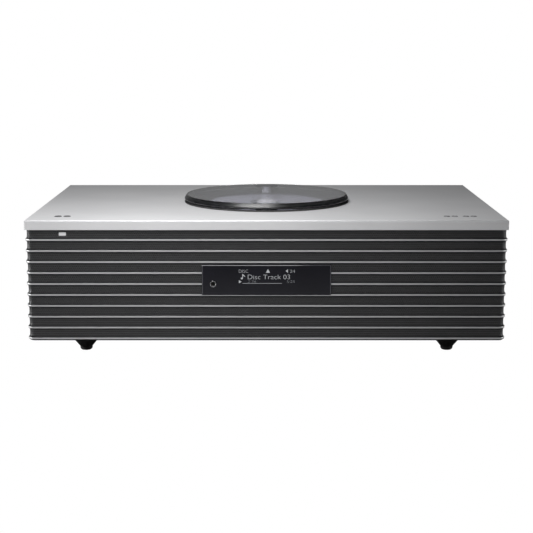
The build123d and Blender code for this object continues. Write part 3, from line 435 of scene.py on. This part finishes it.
def by_radius(name, limit, inner, outer, roughness=0.3, pitch=0.25):
    """Dark satin plastic whose middle, out to a radius about the disc's axis, is another colour. It
    has fine rings, their pitch in millimetres."""
    n = Nodes(name, roughness)
    flat = n.add("ShaderNodeVectorMath", operation="MULTIPLY")
    flat.inputs[1].default_value = (1, 1, 0)
    n.link(n.place, flat.inputs[0])
    length = n.add("ShaderNodeVectorMath", operation="LENGTH")
    n.link(flat.outputs[0], length.inputs[0])
    outside = n.math("GREATER_THAN", length.outputs["Value"], limit)
    n.color(n.blend(outside, inner, outer))
    turns = n.math("SINE", n.math("MULTIPLY", length.outputs["Value"], 2 * math.pi / (pitch * MM)))
    n.rough(n.ramp(n.noise(120.0), roughness - 0.05, roughness + 0.08))
    n.bump(turns, 0.002 * MM)
    n.bump(n.noise(1500.0), 0.006 * MM)
    return n.material


# The panel's rounded edges are painted darker, painted shade that dims the highlight along them
panel_finish = satin_aluminium(
    "panel_aluminium", (0.69, 0.69, 0.70), (0.73, 0.73, 0.74), 0.5, metallic=0.4,
    edge_painted_shade=(0.50, 0.50, 0.51),
)
tip_finish = satin_aluminium(
    "fin_tip_aluminium", (0.54, 0.54, 0.55), (0.60, 0.60, 0.61), 0.42, (30, 3000, 3000), 0.6
)
flank_finish = coated_metal("fin_flank_black", (0.004, 0.004, 0.0045), 0.6, 2200.0, 0.006, 0.0, 0.15)
mesh_finish = coated_metal("mesh_black", (0.06, 0.06, 0.062), 0.42, 2600.0, 0.008, 0.5)
liner_finish = moulded_plastic("liner_black", (0.006, 0.006, 0.006), 0.7)
cabinet_finish = moulded_plastic("cabinet_black", (0.012, 0.012, 0.012), 0.55)
rear_finish = moulded_plastic("rear_panel_black", (0.026, 0.026, 0.027), 0.5, 1100.0, 0.03)
base_finish = coated_metal("base_black", (0.012, 0.012, 0.012), 0.6, 1500.0, 0.03)
foot_finish = coated_metal("foot_black", (0.012, 0.012, 0.012), 0.36, 2400.0, 0.003)
rubber_finish = soft_rubber("rubber_black")
window_finish = gloss_black("window_black", (0.0055, 0.0055, 0.0085))
window_edge_finish = gloss_black("window_edge_pale_line", (0.085, 0.085, 0.095), 0.5)
acrylic_finish = smoked_acrylic("lid_acrylic")
rim_finish = smoked_acrylic("lid_rim_acrylic", 0.30)
# Gloss black on the lid's lip, painted shadow of the gap under the lid, and on the rim's inside,
# partly its own dark tone and partly painted shade
rim_black_and_painted_shadow = gloss_black("lid_lip_black_painted_shadow", (0.005, 0.005, 0.006), 0.12)
steel_finish = bright_metal("plated_steel", (0.62, 0.62, 0.63), 0.28)
chrome_finish = bright_metal("polished_chrome", (0.82, 0.82, 0.83), 0.10)
board_finish = circuit_board("board_green")
cone_finish = speaker_pulp("cone_pulp")
acetal_finish = moulded_plastic("acetal_white", (0.70, 0.69, 0.65), 0.38)
socket_finish = moulded_plastic("socket_black", (0.01, 0.01, 0.01), 0.3, 2000.0, 0.006)
glyph_finish = glowing("display_lit", (0.34, 0.35, 0.36), 0.50)
dim_finish = glowing("display_dim", (0.26, 0.27, 0.28), 0.40)

# ---------------------------------------------------------------- the grille's path
fin_reach = mesh_low.y - fins_low.y
fin_pitch = (fins_high.z - fins_low.z - fin_root) / (fin_count - 1)
fin_levels = [fins_low.z + fin_root / 2 + n * fin_pitch for n in range(fin_count)]
rear_end = fins_high.y
side_run = rear_end - (mesh_low.y + mesh_corner)
corner_run = math.pi / 2 * mesh_corner
front_run = 2 * (mesh_high.x - mesh_corner)
path_length = 2 * side_run + 2 * corner_run + front_run


def on_path(s, out):
    """The point (x, y) at distance s along the grille, moved outwards. s may be an array."""
    s = np.asarray(s, float)
    turn_1 = np.clip((s - side_run) / corner_run, 0, 1) * math.pi / 2
    after_1 = side_run + corner_run
    turn_2 = np.clip((s - after_1 - front_run) / corner_run, 0, 1) * math.pi / 2
    turn = turn_1 + turn_2
    nx, ny = -np.cos(turn), -np.sin(turn)
    left, right = mesh_low.x + mesh_corner, mesh_high.x - mesh_corner
    centre_x = np.where(s < after_1, left, np.minimum(left + (s - after_1), right))
    down_left = np.minimum(s, side_run)
    up_right = np.maximum(s - after_1 - front_run - corner_run, 0)
    centre_y = np.where(s < after_1, rear_end - down_left, mesh_low.y + mesh_corner + up_right)
    reach = mesh_corner + out
    return centre_x + nx * reach, centre_y + ny * reach


corner_steps = 14
straight_stops = 9
window_clearance = 0.1 * MM
front_left = mesh_low.x + mesh_corner  # where the front's straight run begins
window_left = side_run + corner_run + (window_low.x - front_left) - window_clearance
window_right = path_length - window_left


def path_stops(start, end):
    """Distances along the grille that its straight runs and corners need, from start to end."""
    stops = [start, end]
    for corner_start in (side_run, side_run + corner_run + front_run):
        stops += [corner_start + corner_run * k / corner_steps for k in range(corner_steps + 1)]
    stops += [float(s) for s in np.linspace(start, end, straight_stops)]
    return sorted({round(s, 9) for s in stops if start - tiny <= s <= end + tiny})


def swept(section, stops, level=0.0):
    """Vertices and faces of a closed section of (out, up) points drawn along the grille. The faces
    come side by side of the section, and the two ends come last."""
    vertices = []
    for out, up in section:
        xs, ys = on_path(stops, out)
        vertices += [(x, y, level + up) for x, y in zip(xs, ys)]
    count, width = len(section), len(stops)
    faces = []
    for i in range(count):
        j = (i + 1) % count
        for k in range(width - 1):
            faces.append((i * width + k, i * width + k + 1, j * width + k + 1, j * width + k))
    faces += [tuple(i * width + end for i in range(count)) for end in (0, width - 1)]
    return vertices, faces


# ---------------------------------------------------------------- fins
def fin_section():
    """(out, up) points of a fin: black sloping flanks, a black chamfer under the edge that is painted
    shadow of the dark line under the tip, and a narrow bright tip with eased edges."""
    sunk, chamfer, ease = 0.5 * MM, 0.3 * MM, 0.08 * MM
    half_root, chamfer_low = fin_root / 2, -fin_tip / 2 - 0.1 * MM
    tip_low, tip_high = -0.74 * MM, 0.78 * MM
    return [
        (-sunk, -half_root), (0.0, -half_root), (fin_reach - chamfer, chamfer_low),
        (fin_reach - 0.3 * ease, tip_low), (fin_reach, tip_low + 0.7 * ease),
        (fin_reach, tip_high - ease), (fin_reach - 0.3 * ease, tip_high - 0.3 * ease),
        (fin_reach - ease, tip_high), (0.0, half_root), (-sunk, half_root),
    ]


# Side 2, the chamfer under the edge, stays black as painted shadow under the tip
first_tip_side, last_tip_side = 3, 6  # sides of the section that are bright


def add_fin(name, level, start, end):
    """One fin along the grille, from a start distance to an end distance."""
    stops = path_stops(start, end)
    vertices, faces = swept(fin_section(), stops, level)
    obj = add_object(name, vertices, faces, CASE, [flank_finish, tip_finish], 40)
    for number, face in enumerate(obj.data.polygons):
        side = number // (len(stops) - 1)
        face.material_index = int(first_tip_side <= side <= last_tip_side)
    face_outward(obj)
    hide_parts("grille_fins")


for number, level in enumerate(fin_levels, 1):
    behind_window = window_low.z < level - fin_tip and level + fin_tip < window_high.z
    if behind_window:
        add_fin(f"fin_{number:02d}_left", level, 0.0, window_left)
        add_fin(f"fin_{number:02d}_right", level, window_right, path_length)
    else:
        add_fin(f"fin_{number:02d}", level, 0.0, path_length)

# ---------------------------------------------------------------- perforated bands between the fins
hole_pitch = 1.95 * MM
hole_radius = 0.60 * MM
hole_sides = 12
sheet_thick = 0.5 * MM
band_proud = 0.5 * MM  # the bands stand this far past the sheet's nominal face
band_hollow = 0.25 * MM  # how far the middle of a band curves in
tucked = 0.2 * MM  # how far a band reaches under the fin above and below it
behind_edge = 1.5 * MM  # how far it reaches behind the display window's edge


def perforated_band(name, low, high):
    """A strip of the mesh between two fins, with round holes in a staggered grid."""
    rows = round((high - low + hole_pitch / 2) / (hole_pitch * math.sqrt(3) / 2))
    columns = int(path_length / hole_pitch)
    pitch_s = path_length / columns
    row_step = (high - low + 2 * tucked) / (rows - 1 / 3)
    middle = (low + high) / 2
    corners, holes, cells = {}, [], []

    def corner(half_pitches, third_rows):
        """The number of the corner so many half pitches along and thirds of a row up. The cells
        that meet there share it."""
        return corners.setdefault((half_pitches, third_rows), len(corners))

    for row in range(rows):
        shift = row % 2
        for column in range(columns - shift):
            across, up = 2 * column + 1 + shift, 3 * row  # the cell's centre, in the same units
            s = across * pitch_s / 2
            z = middle + (row - (rows - 1) / 2) * row_step
            hidden = window_left + behind_edge < s < window_right - behind_edge
            if hidden and window_low.z + behind_edge < z < window_high.z - behind_edge:
                continue
            ring = [
                corner(across + 1, up - 1), corner(across + 1, up + 1), corner(across, up + 2),
                corner(across - 1, up + 1), corner(across - 1, up - 1), corner(across, up - 2),
            ]
            holes.append((s, z))
            cells.append(ring)
    corner_keys = np.array(list(corners), float)
    corner_s = corner_keys[:, 0] * pitch_s / 2
    corner_z = middle + (corner_keys[:, 1] / 3 - (rows - 1) / 2) * row_step
    holes = np.array(holes)
    angles = np.radians(-30 + 360 / hole_sides * np.arange(hole_sides))
    hole_s = (holes[:, :1] + hole_radius * np.cos(angles)).ravel()
    hole_z = (holes[:, 1:] + hole_radius * np.sin(angles)).ravel()

    def placed(s, z, depth):
        """Points at s along and z up, so deep in the sheet, which is hollowed between the fins."""
        t = (z - middle) / (high - low)
        hollow = np.clip(1 - (2 * t) ** 2, 0, 1) * band_hollow
        x, y = on_path(np.clip(s, 0, path_length), band_proud - hollow - depth)
        return np.stack([x, y, z], 1)

    vertices = np.concatenate(
        [
            placed(corner_s, corner_z, 0.0),
            placed(hole_s, hole_z, 0.0),
            placed(hole_s, hole_z, sheet_thick),
        ]
    )
    faces = []
    front, back = len(corner_s), len(corner_s) + len(hole_s)
    step = hole_sides // 6
    for i, ring in enumerate(cells):
        first = front + i * hole_sides
        deep = back + i * hole_sides
        for k in range(6):
            a = [first + (k * step + m) % hole_sides for m in range(step + 1)]
            faces.append((ring[k], ring[(k + 1) % 6], *reversed(a)))
        for m in range(hole_sides):
            n = (m + 1) % hole_sides
            faces.append((first + m, first + n, deep + n, deep + m))
    obj = add_object(name, vertices.tolist(), faces, CASE, mesh_finish)
    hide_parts("grille_mesh")


band_tops = [level - fin_root / 2 for level in fin_levels[1:]] + [mesh_high.z]
for number, (level, high) in enumerate(zip(fin_levels, band_tops), 1):
    perforated_band(f"mesh_band_{number:02d}", level + fin_root / 2, high)


def grille_liner():
    """A black panel a little behind the mesh, so that nothing shows through the holes."""
    front, back, bottom, top = -0.4 * MM, -1.2 * MM, mesh_low.z, mesh_high.z
    section = [(front, bottom), (front, top), (back, top), (back, bottom)]
    vertices, faces = swept(section, path_stops(0.0, path_length))
    obj = add_object("grille_liner", vertices, faces, CASE, liner_finish)
    face_outward(obj)


grille_liner()

# ---------------------------------------------------------------- display
facing_front = Matrix.Rotation(math.radians(90), 4, "X")
glyph_plane = window_low.y - 0.02 * MM
glyph_thick = 0.03 * MM
text_thick = 0.02 * MM
thinner = 0.10 * MM  # taken off the outline of the letters
capital_share = 0.72  # height of a capital letter in a font of size 1


def front_glyph(name, outline, finish=glyph_finish):
    """A thin shape on the window, lit by default, from (x, z) points."""
    place = Matrix.Translation((0, glyph_plane + glyph_thick, 0)) @ facing_front
    prism(name, outline, 0.0, glyph_thick, place, CASE, finish)


def front_text(name, words, left, base, height, width, finish=glyph_finish):
    """Lit text on the window: left end, base line, capital height and total width."""
    curve = bpy.data.curves.new(name, "FONT")
    curve.body = words
    curve.size = height / capital_share
    curve.offset = -thinner
    curve.extrude = text_thick / 2
    obj = bpy.data.objects.new(name, curve)
    bpy.context.scene.collection.objects.link(obj)
    bpy.context.view_layer.update()
    curve.materials.append(finish)
    place = Matrix.Translation((left, glyph_plane + text_thick / 2, base)) @ facing_front
    obj.matrix_world = place @ Matrix.Diagonal((width / obj.dimensions.x, 1, 1, 1))
    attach(obj, CASE)


def box_outline(left, low, right, high):
    """The corners of a rectangle."""
    return [(left, low), (right, low), (right, high), (left, high)]


# A thin paler grey line on the window, along the top and both ends
edge_inset, edge_wide = 0.45 * MM, 0.35 * MM
edge_x, edge_top = window_low.x + edge_inset, window_high.z - edge_inset
side_low, side_high = window_low.z + 1.0 * MM, window_high.z - 1.0 * MM
for side, outline in {
    "left": box_outline(edge_x, side_low, edge_x + edge_wide, side_high),
    "right": box_outline(-edge_x - edge_wide, side_low, -edge_x, side_high),
    "top": box_outline(edge_x, edge_top - edge_wide, -edge_x, edge_top),
}.items():
    front_glyph(f"window_edge_{side}", outline, window_edge_finish)

# Three rows: the source and the volume, the title, and the place in the track
row_1, row_2, row_3 = (window_high.z - down * MM for down in (7.9, 14.0, 17.9))
row_3_digits = row_3 + 0.6 * MM
front_text("display_source", "DISC", -26.1 * MM, row_1, 3.2 * MM, 8.6 * MM)
eject_left, eject_right, eject_high = -0.6 * MM, 3.3 * MM, 3.6 * MM
eject_tip = ((eject_left + eject_right) / 2, row_1 + eject_high)
front_glyph("display_eject", [(eject_left, row_1), (eject_right, row_1), eject_tip])
horn_tip, horn_back, horn_high = 17.8 * MM, 20.0 * MM, 3.4 * MM
front_glyph(
    "display_volume_mark",
    [(horn_tip, row_1 + horn_high / 2), (horn_back, row_1), (horn_back, row_1 + horn_high)],
)
front_text("display_volume", "24", 21.6 * MM, row_1, 3.1 * MM, 4.8 * MM)
front_text("display_title", "Disc Track 03", -18.1 * MM, row_2, 4.6 * MM, 39.4 * MM)
note_outline = [  # a quaver, in millimetres from its lower left
    (0.0, 0.0), (1.5, 0.0), (1.9, 0.8), (1.9, 3.4), (3.9, 2.2),
    (3.9, 3.0), (1.9, 4.9), (1.3, 4.9), (1.3, 1.5), (0.0, 1.5),
]
note_left = -23.9
front_glyph("display_note", [((note_left + x) * MM, row_2 + z * MM) for x, z in note_outline])
play_left, play_right, play_high = -25.8 * MM, -23.2 * MM, 3.0 * MM
front_glyph(
    "display_play",
    [(play_left, row_3), (play_right, row_3 + play_high / 2), (play_left, row_3 + play_high)],
)
front_text("display_elapsed", "2:36", -17.6 * MM, row_3_digits, 2.6 * MM, 7.6 * MM, dim_finish)
front_text("display_total", "5:25", 18.7 * MM, row_3_digits - 0.2 * MM, 2.6 * MM, 7.4 * MM, dim_finish)
bar_low, bar_high = row_3 - 0.25 * MM, row_3 + 0.15 * MM
front_glyph("display_bar", box_outline(-22.4 * MM, bar_low, 14.4 * MM, bar_high), dim_finish)

# ---------------------------------------------------------------- headphone jack
jack_centre = (jack_low + jack_high) / 2
jack_front = (jack_centre.x, jack_low.y, jack_centre.z)
lip = 2.35 * MM  # inner radius of the bright ring
ring_deep, barrel_recess, jack_steps = 3.0 * MM, 0.5 * MM, 48
body_radius, body_start, body_end, hole_end = 4.3 * MM, -13.0 * MM, -24.0 * MM, -16.0 * MM
ring_outline = [(lip, 0.0), (jack_ring, 0.0), (jack_ring, -ring_deep), (lip, -ring_deep)]
turned(
    "headphone_ring", rounded(ring_outline, 0.15 * MM), jack_front, CASE,
    bright_metal("jack_ring", (0.62, 0.62, 0.64), 0.24), "front", jack_steps,
)
barrel_outline = [
    (jack_bore, -barrel_recess), (lip, -barrel_recess), (lip, -ring_deep), (jack_ring, -ring_deep),
    (jack_ring, body_start), (body_radius, body_start), (body_radius, body_end), (0.0, body_end),
    (0.0, hole_end), (jack_bore, hole_end),
]
barrel = turned(
    "headphone_barrel", barrel_outline, jack_front, CASE,
    socket_finish, "front", jack_steps,
)
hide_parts("headphone_jack")

# ---------------------------------------------------------------- lid
lid_top, lid_foot, lid_radius = lid_high.z, panel_high.z + lid_gap, lid_high.x
lid_under = lid_top - lid_skin
inner_radius = lid_foot_radius - lid_wall
widest_high, widest_low = lid_foot + 2.3 * MM, lid_foot + 1.4 * MM
support = 1.5 * MM  # rings this far from the corners keep the shading of the flat faces flat
lid_outline = rounded(
    [
        (lid_top_radius, lid_top), (lid_radius, widest_high), (lid_radius, widest_low),
        (lid_foot_radius, lid_foot), (inner_radius, lid_foot), (inner_radius, lid_under),
        (inner_radius - support, lid_under), (0.0, lid_under), (0.0, lid_top),
        (lid_top_radius - support, lid_top),
    ],
    0.5 * MM,
    steps=5,
)
lid = turned("lid_shell", lid_outline, (0, 0, 0), "lid", acrylic_finish, steps=256)
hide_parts("cd_lid")

# A round recess for the cap, over a hole for the post
pivot = (cap_low + cap_high) / 2 * Vector((1, 1, 0))
recess, recess_deep = (cap_high.x - cap_low.x) / 2 + 0.3 * MM, 1.0 * MM
cutter_top, cutter_bottom = lid_top + 1.0 * MM, lid_top - 5.0 * MM
cutter_outline = [
    (0.0, cutter_top), (0.0, cutter_bottom), (post_bore, cutter_bottom),
    (post_bore, lid_top - recess_deep), (recess, lid_top - recess_deep), (recess, cutter_top),
]
cut_away(lid, cutter_outline, pivot)

# The rim's outside is satin. The lip is black, painted shadow of the gap under the lid, and the rim's
# inside is black, partly the rim's own dark tone and partly painted shade.
painted_shadow_top = lid_foot + 1.5 * MM
inward, outward = -0.5, 0.3  # cosines between a face's normal and the way out from the middle
lid.data.materials.append(rim_black_and_painted_shadow)
lid.data.materials.append(rim_finish)
for face in lid.data.polygons:
    facing = face.normal.dot(face.center.xy.normalized().to_3d())
    if face.center.z < painted_shadow_top or (facing < inward and face.center.z < lid_under):
        face.material_index = 1
    elif facing > outward and face.center.xy.length > inner_radius:
        face.material_index = 2

boss_top = lid_top - 1.1 * MM
boss_outline = [
    (post_bore, boss_top), (boss_radius, boss_top), (boss_radius, lid_low.z), (post_bore, lid_low.z),
]
turned(
    "lid_boss", rounded(boss_outline, 0.3 * MM), pivot, "lid", acrylic_finish, steps=96
)

# ---------------------------------------------------------------- finishes of the CAD pieces
key_silver = satin_aluminium(
    "key_silver", (0.16, 0.16, 0.165), (0.20, 0.20, 0.205), 0.35, metallic=0.4
)
badge_finish = satin_aluminium(
    "badge_silver", (0.80, 0.80, 0.81), (0.86, 0.86, 0.87), 0.35, (900, 40, 900), 0.3
)
post_finish = satin_aluminium(
    "post_steel", (0.85, 0.85, 0.87), (0.88, 0.88, 0.90), 0.25, (900, 900, 60), 0.4
)
hub_finish = satin_aluminium(
    "hub_silver", (0.86, 0.86, 0.88), (0.90, 0.90, 0.92), 0.28, (900, 900, 900), 0.25
)
key_dark = gloss_black("key_dark", (0.035, 0.035, 0.038), 0.25)
well_finish = by_radius("well_grey", recess_radius, (0.45, 0.45, 0.52), (0.045, 0.045, 0.048), 0.34)
cad_finishes = {
    "top_panel": panel_finish,
    "front_badge": badge_finish,
    "cabinet": cabinet_finish,
    "base_plate": base_finish,
    "subwoofer_guard": base_finish,
    "bass_ports": cabinet_finish,
    "feet": foot_finish,
    "foot_pads": rubber_finish,
    "display_window": window_finish,
    "display_tray": cabinet_finish,
    "display_module": board_finish,
    "lid_pivot_post": post_finish,
    "lid_pivot_cap": turned_metal("cap_aluminium", (0.42, 0.42, 0.44), 0.3, tuple(pivot)),
    "lid_washer": acetal_finish,
    "lid_seat_ring": rubber_finish,
    "disc_well": well_finish,
    "drive_deck": steel_finish,
    "deck_dampers": rubber_finish,
    "deck_screws": steel_finish,
    "guide_rods": chrome_finish,
    "spindle_motor": steel_finish,
    "spindle_hub": hub_finish,
    "pickup_sled": cabinet_finish,
    "objective_lens": smoked_acrylic("lens_clear"),
    "feed_gear": acetal_finish,
    "feed_pinion": acetal_finish,
    "feed_motor": steel_finish,
    "power_key": key_dark,
    "source_key": key_dark,
    "volume_down_key": key_silver,
    "volume_up_key": key_silver,
    "stop_key": key_silver,
    "play_key": key_silver,
    "key_boards": board_finish,
    "left_woofer_frame": base_finish,
    "right_woofer_frame": base_finish,
    "subwoofer_frame": base_finish,
    "left_woofer_cone": cone_finish,
    "right_woofer_cone": cone_finish,
    "subwoofer_cone": cone_finish,
    "left_woofer_surround": rubber_finish,
    "right_woofer_surround": rubber_finish,
    "subwoofer_surround": rubber_finish,
    "tweeters": cone_finish,
    "main_board": board_finish,
    "power_board": board_finish,
    "heatsink": satin_aluminium("heatsink_aluminium", (0.5, 0.5, 0.51), (0.6, 0.6, 0.61), 0.45),
    "rear_panel": rear_finish,
    "socket_plate": base_finish,
    "lan_socket": steel_finish,
    "usb_socket": steel_finish,
    "optical_socket": socket_finish,
    "aux_socket": socket_finish,
    "aerial_sockets": steel_finish,
    "mains_inlet": socket_finish,
    "case_screws": steel_finish,
}
for node, finish in cad_finishes.items():
    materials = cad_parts[node].data.materials
    materials.clear()
    materials.append(finish)

# Plain marks on the four keys at the right: a dash, a cross, a square and a triangle
mark_finish = satin_aluminium(
    "key_mark", (0.84, 0.84, 0.85), (0.88, 0.88, 0.89), 0.4, (400, 400, 400), 0.2
)
mark_sunk, mark_depth = 0.02 * MM, 0.2 * MM
thin, wide = 0.18 * MM, 1.15 * MM
square, triangle_left = 0.75 * wide, -0.8 * wide
key_marks = {
    "volume_down": box_outline(-wide, -thin, wide, thin),
    "volume_up": [
        (-wide, -thin), (-thin, -thin), (-thin, -wide), (thin, -wide), (thin, -thin), (wide, -thin),
        (wide, thin), (thin, thin), (thin, wide), (-thin, wide), (-thin, thin), (-wide, thin),
    ],
    "stop": box_outline(-square, -square, square, square),
    "play": [(triangle_left, -wide), (wide, 0.0), (triangle_left, wide)],
}
for key, outline in key_marks.items():
    low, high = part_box(f"{key}_key")
    middle = (low + high) / 2
    place = Matrix.Translation((middle.x, middle.y, high.z - mark_sunk))
    prism(f"{key}_mark", outline, -mark_depth, 0.0, place, f"{key}_button", mark_finish)

# ---------------------------------------------------------------- floor, light and camera
def camera_only_white(tree, lit, white_kind, through_acrylic):
    """Adds a mix that shows plain white to the camera, and through the acrylic if asked, and the
    lit shader to every other ray."""
    white = tree.nodes.new(white_kind)
    white.inputs["Color"].default_value = (1, 1, 1, 1)
    path = tree.nodes.new("ShaderNodeLightPath")
    seen = path.outputs["Is Camera Ray"]
    if through_acrylic:
        either = tree.nodes.new("ShaderNodeMath")
        either.operation = "MAXIMUM"
        tree.links.new(seen, either.inputs[0])
        tree.links.new(path.outputs["Is Transmission Ray"], either.inputs[1])
        seen = either.outputs[0]
    mix = tree.nodes.new("ShaderNodeMixShader")
    tree.links.new(seen, mix.inputs["Fac"])
    tree.links.new(lit, mix.inputs[1])
    tree.links.new(white.outputs[0], mix.inputs[2])
    return mix.outputs[0]


def stage_floor():
    """A wide round floor, white to the camera and mid grey to the light."""
    work = bmesh.new()
    bmesh.ops.create_circle(work, cap_ends=True, segments=96, radius=floor_radius)
    mesh = bpy.data.meshes.new("studio_floor")
    work.to_mesh(mesh)
    work.free()
    floor = bpy.data.objects.new("studio_floor", mesh)
    bpy.context.scene.collection.objects.link(floor)
    n = Nodes("studio_white", 0.9)
    n.color(n.blend(n.ramp(n.noise(3.0), 0, 1), (0.40, 0.40, 0.40), (0.43, 0.43, 0.43)))
    out = n.tree.nodes["Material Output"]
    white = camera_only_white(n.tree, n.shader.outputs[0], "ShaderNodeEmission", True)
    n.link(white, out.inputs["Surface"])
    mesh.materials.append(n.material)


def studio_world():
    """White for the camera. Everything else sees a dark surround, a little paler overhead, with a
    pale wall low behind."""
    world = bpy.data.worlds.new("studio")
    bpy.context.scene.world = world
    world.use_nodes = True
    tree = world.node_tree
    tree.nodes.clear()
    direction = tree.nodes.new("ShaderNodeTexCoord").outputs["Generated"]

    def towards(aim, start, end):
        """1 where the direction is within the end cosine of aim, fading to 0 at the start cosine."""
        dot = tree.nodes.new("ShaderNodeVectorMath")
        dot.operation = "DOT_PRODUCT"
        dot.inputs[1].default_value = Vector(aim).normalized()
        tree.links.new(direction, dot.inputs[0])
        fade = tree.nodes.new("ShaderNodeMapRange")
        fade.interpolation_type = "SMOOTHSTEP"
        fade.inputs["From Min"].default_value = start
        fade.inputs["From Max"].default_value = end
        tree.links.new(dot.outputs["Value"], fade.inputs["Value"])
        return fade.outputs["Result"]

    total = None
    for aim, start, end, power in surround_lights:
        scale = tree.nodes.new("ShaderNodeMath")
        scale.operation = "MULTIPLY_ADD"
        scale.inputs[1].default_value = power
        tree.links.new(towards(aim, start, end), scale.inputs[0])
        if total is None:
            scale.inputs[2].default_value = surround_base
        else:
            tree.links.new(total, scale.inputs[2])
        total = scale.outputs[0]
    surround = tree.nodes.new("ShaderNodeBackground")
    surround.inputs["Color"].default_value = (0.98, 0.99, 1.0, 1)
    tree.links.new(total, surround.inputs["Strength"])
    out = tree.nodes.new("ShaderNodeOutputWorld")
    white = camera_only_white(tree, surround.outputs[0], "ShaderNodeBackground", False)
    tree.links.new(white, out.inputs["Surface"])


def area_light(name, place, target, size, power):
    """A rectangular lamp, itself unseen by the camera and through the acrylic."""
    data = bpy.data.lights.new(name, "AREA")
    data.shape = "RECTANGLE"
    data.size, data.size_y = size
    data.energy = power
    light = bpy.data.objects.new(name, data)
    light.location = place
    aim = Vector(target) - Vector(place)
    light.rotation_euler = aim.to_track_quat("-Z", "Y").to_euler()
    light.visible_camera = False
    light.visible_transmission = False
    bpy.context.scene.collection.objects.link(light)


floor_radius = 9.0
surround_base = 0.02
surround_lights = [  # (direction, cosine where it starts, cosine where it is full, strength)
    ((0.0, 0.0, 1.0), 0.0, 0.9, 0.03),
    ((-0.20, 1.0, 0.12), 0.80, 0.99, 0.22),
]
area_lights = [  # (name, place, point it faces, size, power)
    ("over_light", (-0.10, -0.30, 0.43), (-0.07, -0.1, 0.1), (0.26, 0.30), 2.65),
    ("side_light", (-1.30, -0.60, 0.45), (0.0, 0.0, 0.08), (0.50, 0.50), 0.8),
    ("low_left_light", (-1.30, -0.20, 0.05), (-0.2, -0.12, 0.05), (0.80, 0.08), 7.0),
    ("low_right_light", (1.30, -0.20, 0.05), (0.2, -0.12, 0.05), (0.80, 0.08), 3.6),
    ("rear_light", (0.30, 0.95, 0.05), (0.0, 0.1, 0.06), (0.90, 0.06), 1.6),
]
stage_floor()
studio_world()
for light in area_lights:
    area_light(*light)

camera_away, camera_high, looking_down = 1.2978, 0.3048, 10.43  # metres, metres, degrees
camera_data = bpy.data.cameras.new("camera")
camera_data.sensor_width = 36.0
camera_data.lens = 85.29
camera = bpy.data.objects.new("camera", camera_data)
camera.location = (0.0, -camera_away, camera_high)
camera.rotation_euler = (math.radians(90 - looking_down), 0.0, 0.0)
bpy.context.scene.collection.objects.link(camera)
bpy.context.scene.camera = camera
bpy.context.scene.view_settings.view_transform = "Standard"
